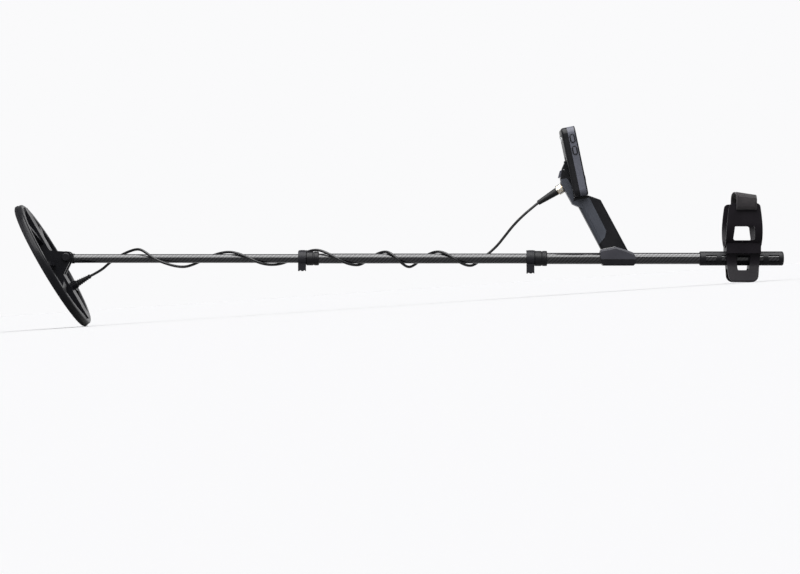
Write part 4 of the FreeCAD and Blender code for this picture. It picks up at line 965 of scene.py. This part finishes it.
def webbing_strap(name, material, thick):
    """A flat strap with rounded edges along its middle line, and its cloth coordinates in millimetres."""
    line = strap_line()
    section = strap_section()
    mesh = bmesh.new()
    cloth = mesh.loops.layers.uv.new("cloth")
    rings, travelled, places = [], 0.0, []
    for i, point in enumerate(line):
        ahead = line[min(i + 1, len(line) - 1)] - line[max(i - 1, 0)]
        out = Vector((0, -ahead.z, ahead.y)).normalized()
        if i:
            travelled += (point - line[i - 1]).length
        places.append(travelled)
        ring = [strap_point(point, across) + out * off * thick for across, off in section]
        rings.append([mesh.verts.new(corner) for corner in ring])
    for i in range(len(rings) - 1):
        for j in range(len(section)):
            following = (j + 1) % len(section)
            spots = ((i, j), (i, following), (i + 1, following), (i + 1, j))
            face = mesh.faces.new([rings[place][side] for place, side in spots])
            for loop, (place, side) in zip(face.loops, spots):
                loop[cloth].uv = (places[place], section[side][0])
    for ring, place in ((rings[0], places[0]), (list(reversed(rings[-1])), places[-1])):
        face = mesh.faces.new(ring)
        for loop in face.loops:
            loop[cloth].uv = (place, 0.0)
    bmesh.ops.recalc_face_normals(mesh, faces=mesh.faces)
    bmesh.ops.transform(mesh, matrix=SHAFT, verts=mesh.verts)
    data = bpy.data.meshes.new(name)
    mesh.to_mesh(data)
    mesh.free()
    data.shade_smooth()
    data.materials.append(material)
    strap = bpy.data.objects.new(name, data)
    bpy.context.scene.collection.objects.link(strap)
    return strap, travelled


def stitch_lines():
    """A box of stitches on the near flap, just proud of the webbing."""
    near = [point for point in strap_line() if point.y < -50.5 and 95 < point.z < 112]
    proud = Vector((0, -1.0, 0))
    rows = [[strap_point(point, across) + proud for point in near] for across in (-STITCH_EDGE, STITCH_EDGE)]
    for point in (near[0], near[-1]):
        rows.append([strap_point(point, across) + proud for across in (-STITCH_EDGE, -5, 5, STITCH_EDGE)])
    return rows


# ---- stage ----

SOFTBOX_REACH = "softboxes reach"      # the softboxes light what is in this collection
EYE = (689, -5236, -53.3)              # in the shaft's frame, like the place it looks at
TARGET = (623.5, 0, -53.3)


class DETECTOR_OT_stage(bpy.types.Operator):
    """Set up the floor, the soft lights and the camera"""
    bl_idname = "detector.stage"
    bl_label = "Stage"

    def execute(self, context):
        look = context.scene.detector_colours
        context.scene.view_settings.view_transform = "Standard"
        add_camera(context.scene)
        floor = add_floor(look)
        add_studio(look)
        lit = bpy.data.collections.new(SOFTBOX_REACH)
        add_softbox("overhead softbox", (0.0, -0.9, 2.2), (3.4, 3.4), 450, lit)
        add_softbox("front softbox", (-0.5, -3.4, 1.3), (2.4, 0.35), 10, lit)
        # daylight for the floor alone
        reach = bpy.data.collections.new("floor light reaches")
        reach.objects.link(floor)
        data = bpy.data.lights.new("floor light", "SUN")
        data.energy = 1.67
        data.angle = math.radians(100)
        sun = bpy.data.objects.new("floor light", data)
        context.scene.collection.objects.link(sun)
        sun.light_linking.receiver_collection = reach
        return {"FINISHED"}


def add_camera(scene):
    """A long lens, far off on the object's left and turned so that the shaft lies level in its view."""
    data = bpy.data.cameras.new("camera")
    data.sensor_width = 36
    data.lens = 126
    data.clip_end = 400
    camera = bpy.data.objects.new("camera", data)
    scene.collection.objects.link(camera)
    eye = shaft_point(*EYE)
    ahead = (shaft_point(*TARGET) - eye).normalized()
    right = ahead.cross(SHAFT.to_3x3().col[2]).normalized()
    turn = Matrix((right, right.cross(ahead), -ahead)).transposed()
    camera.matrix_world = Matrix.Translation(eye) @ turn.to_4x4()
    scene.camera = camera


def add_floor(look):
    """A floor that reaches the horizon: matt white paint, so it shows soft shadows and no shine."""
    half = 150.0
    mesh = bpy.data.meshes.new("floor")
    mesh.from_pydata([(-half, -half, 0), (half, -half, 0), (half, half, 0), (-half, half, 0)], [],
                     [(0, 1, 2, 3)])
    floor = bpy.data.objects.new("floor", mesh)
    bpy.context.scene.collection.objects.link(floor)
    mesh.materials.append(new_material("matt floor", look.wall, Roughness=1.0, Specular_IOR_Level=0.0)[0])
    floor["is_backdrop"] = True
    return floor


def add_studio(look):
    """The studio round the object: pale walls low down, dim above them, bright again overhead."""
    world = bpy.data.worlds.new("studio")
    world.use_nodes = True
    bpy.context.scene.world = world
    tree = world.node_tree
    tree.nodes.clear()
    direction = add(tree, "ShaderNodeTexCoord").outputs["Generated"]
    height = add(tree, "ShaderNodeSeparateXYZ", {0: direction}).outputs[2]
    walls = add(tree, "ShaderNodeMapRange", {0: height, 1: 0.12, 2: 0.4, 3: 1.0, 4: 0.2}).outputs[0]
    ceiling = add(tree, "ShaderNodeMapRange", {0: height, 1: 0.55, 2: 0.9, 3: 0.0, 4: 0.5}).outputs[0]
    both = add(tree, "ShaderNodeMath", {0: walls, 1: ceiling}).outputs[0]
    back = add(tree, "ShaderNodeBackground", {"Color": look.wall, "Strength": both})
    add(tree, "ShaderNodeOutputWorld", {"Surface": back.outputs[0]})


def add_softbox(name, place, size, power, reach):
    """A rectangular lamp, aimed at the object, that lights one collection alone."""
    data = bpy.data.lights.new(name, "AREA")
    data.shape = "RECTANGLE"
    data.size, data.size_y = size
    data.energy = power
    light = bpy.data.objects.new(name, data)
    bpy.context.scene.collection.objects.link(light)
    aim = Vector((0, 0, 0.1)) - Vector(place)
    light.matrix_world = Matrix.Translation(place) @ aim.to_track_quat("-Z", "Y").to_matrix().to_4x4()
    light.light_linking.receiver_collection = reach


class DETECTOR_PT_panel(bpy.types.Panel):
    """Sizes, colours and pieces of the detector"""
    bl_idname = "DETECTOR_PT_panel"
    bl_label = "Metal detector"
    bl_space_type = "VIEW_3D"
    bl_region_type = "UI"
    bl_category = "Detector"

    def draw(self, context):
        for group in (context.scene.detector_sizes, context.scene.detector_colours):
            for name in group.__annotations__:
                self.layout.prop(group, name)
        for operator in OPERATORS:
            self.layout.operator(operator.bl_idname)


OPERATORS = (DETECTOR_OT_stage, DETECTOR_OT_cable, DETECTOR_OT_coil, DETECTOR_OT_shaft, DETECTOR_OT_handle,
             DETECTOR_OT_pod, DETECTOR_OT_plug, DETECTOR_OT_arm_rest)
CLASSES = (DetectorSizes, DetectorColours, *OPERATORS, DETECTOR_PT_panel)


def register():
    """Make the add-on's classes and settings known."""
    for item in CLASSES:
        bpy.utils.register_class(item)
    bpy.types.Scene.detector_sizes = bpy.props.PointerProperty(type=DetectorSizes)
    bpy.types.Scene.detector_colours = bpy.props.PointerProperty(type=DetectorColours)


def unregister():
    """Take them away again."""
    del bpy.types.Scene.detector_colours
    del bpy.types.Scene.detector_sizes
    for item in reversed(CLASSES):
        bpy.utils.unregister_class(item)


def main():
    """Make the whole detector on its stage, and let the softboxes light every piece that is shown."""
    register()
    bpy.ops.detector.stage()
    bpy.ops.detector.cable()
    bpy.ops.detector.coil()
    bpy.ops.detector.shaft()
    bpy.ops.detector.handle()
    bpy.ops.detector.pod()
    bpy.ops.detector.plug()
    bpy.ops.detector.arm_rest()
    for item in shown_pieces():
        bpy.data.collections[SOFTBOX_REACH].objects.link(item)


if __name__ == "__main__":
    main()
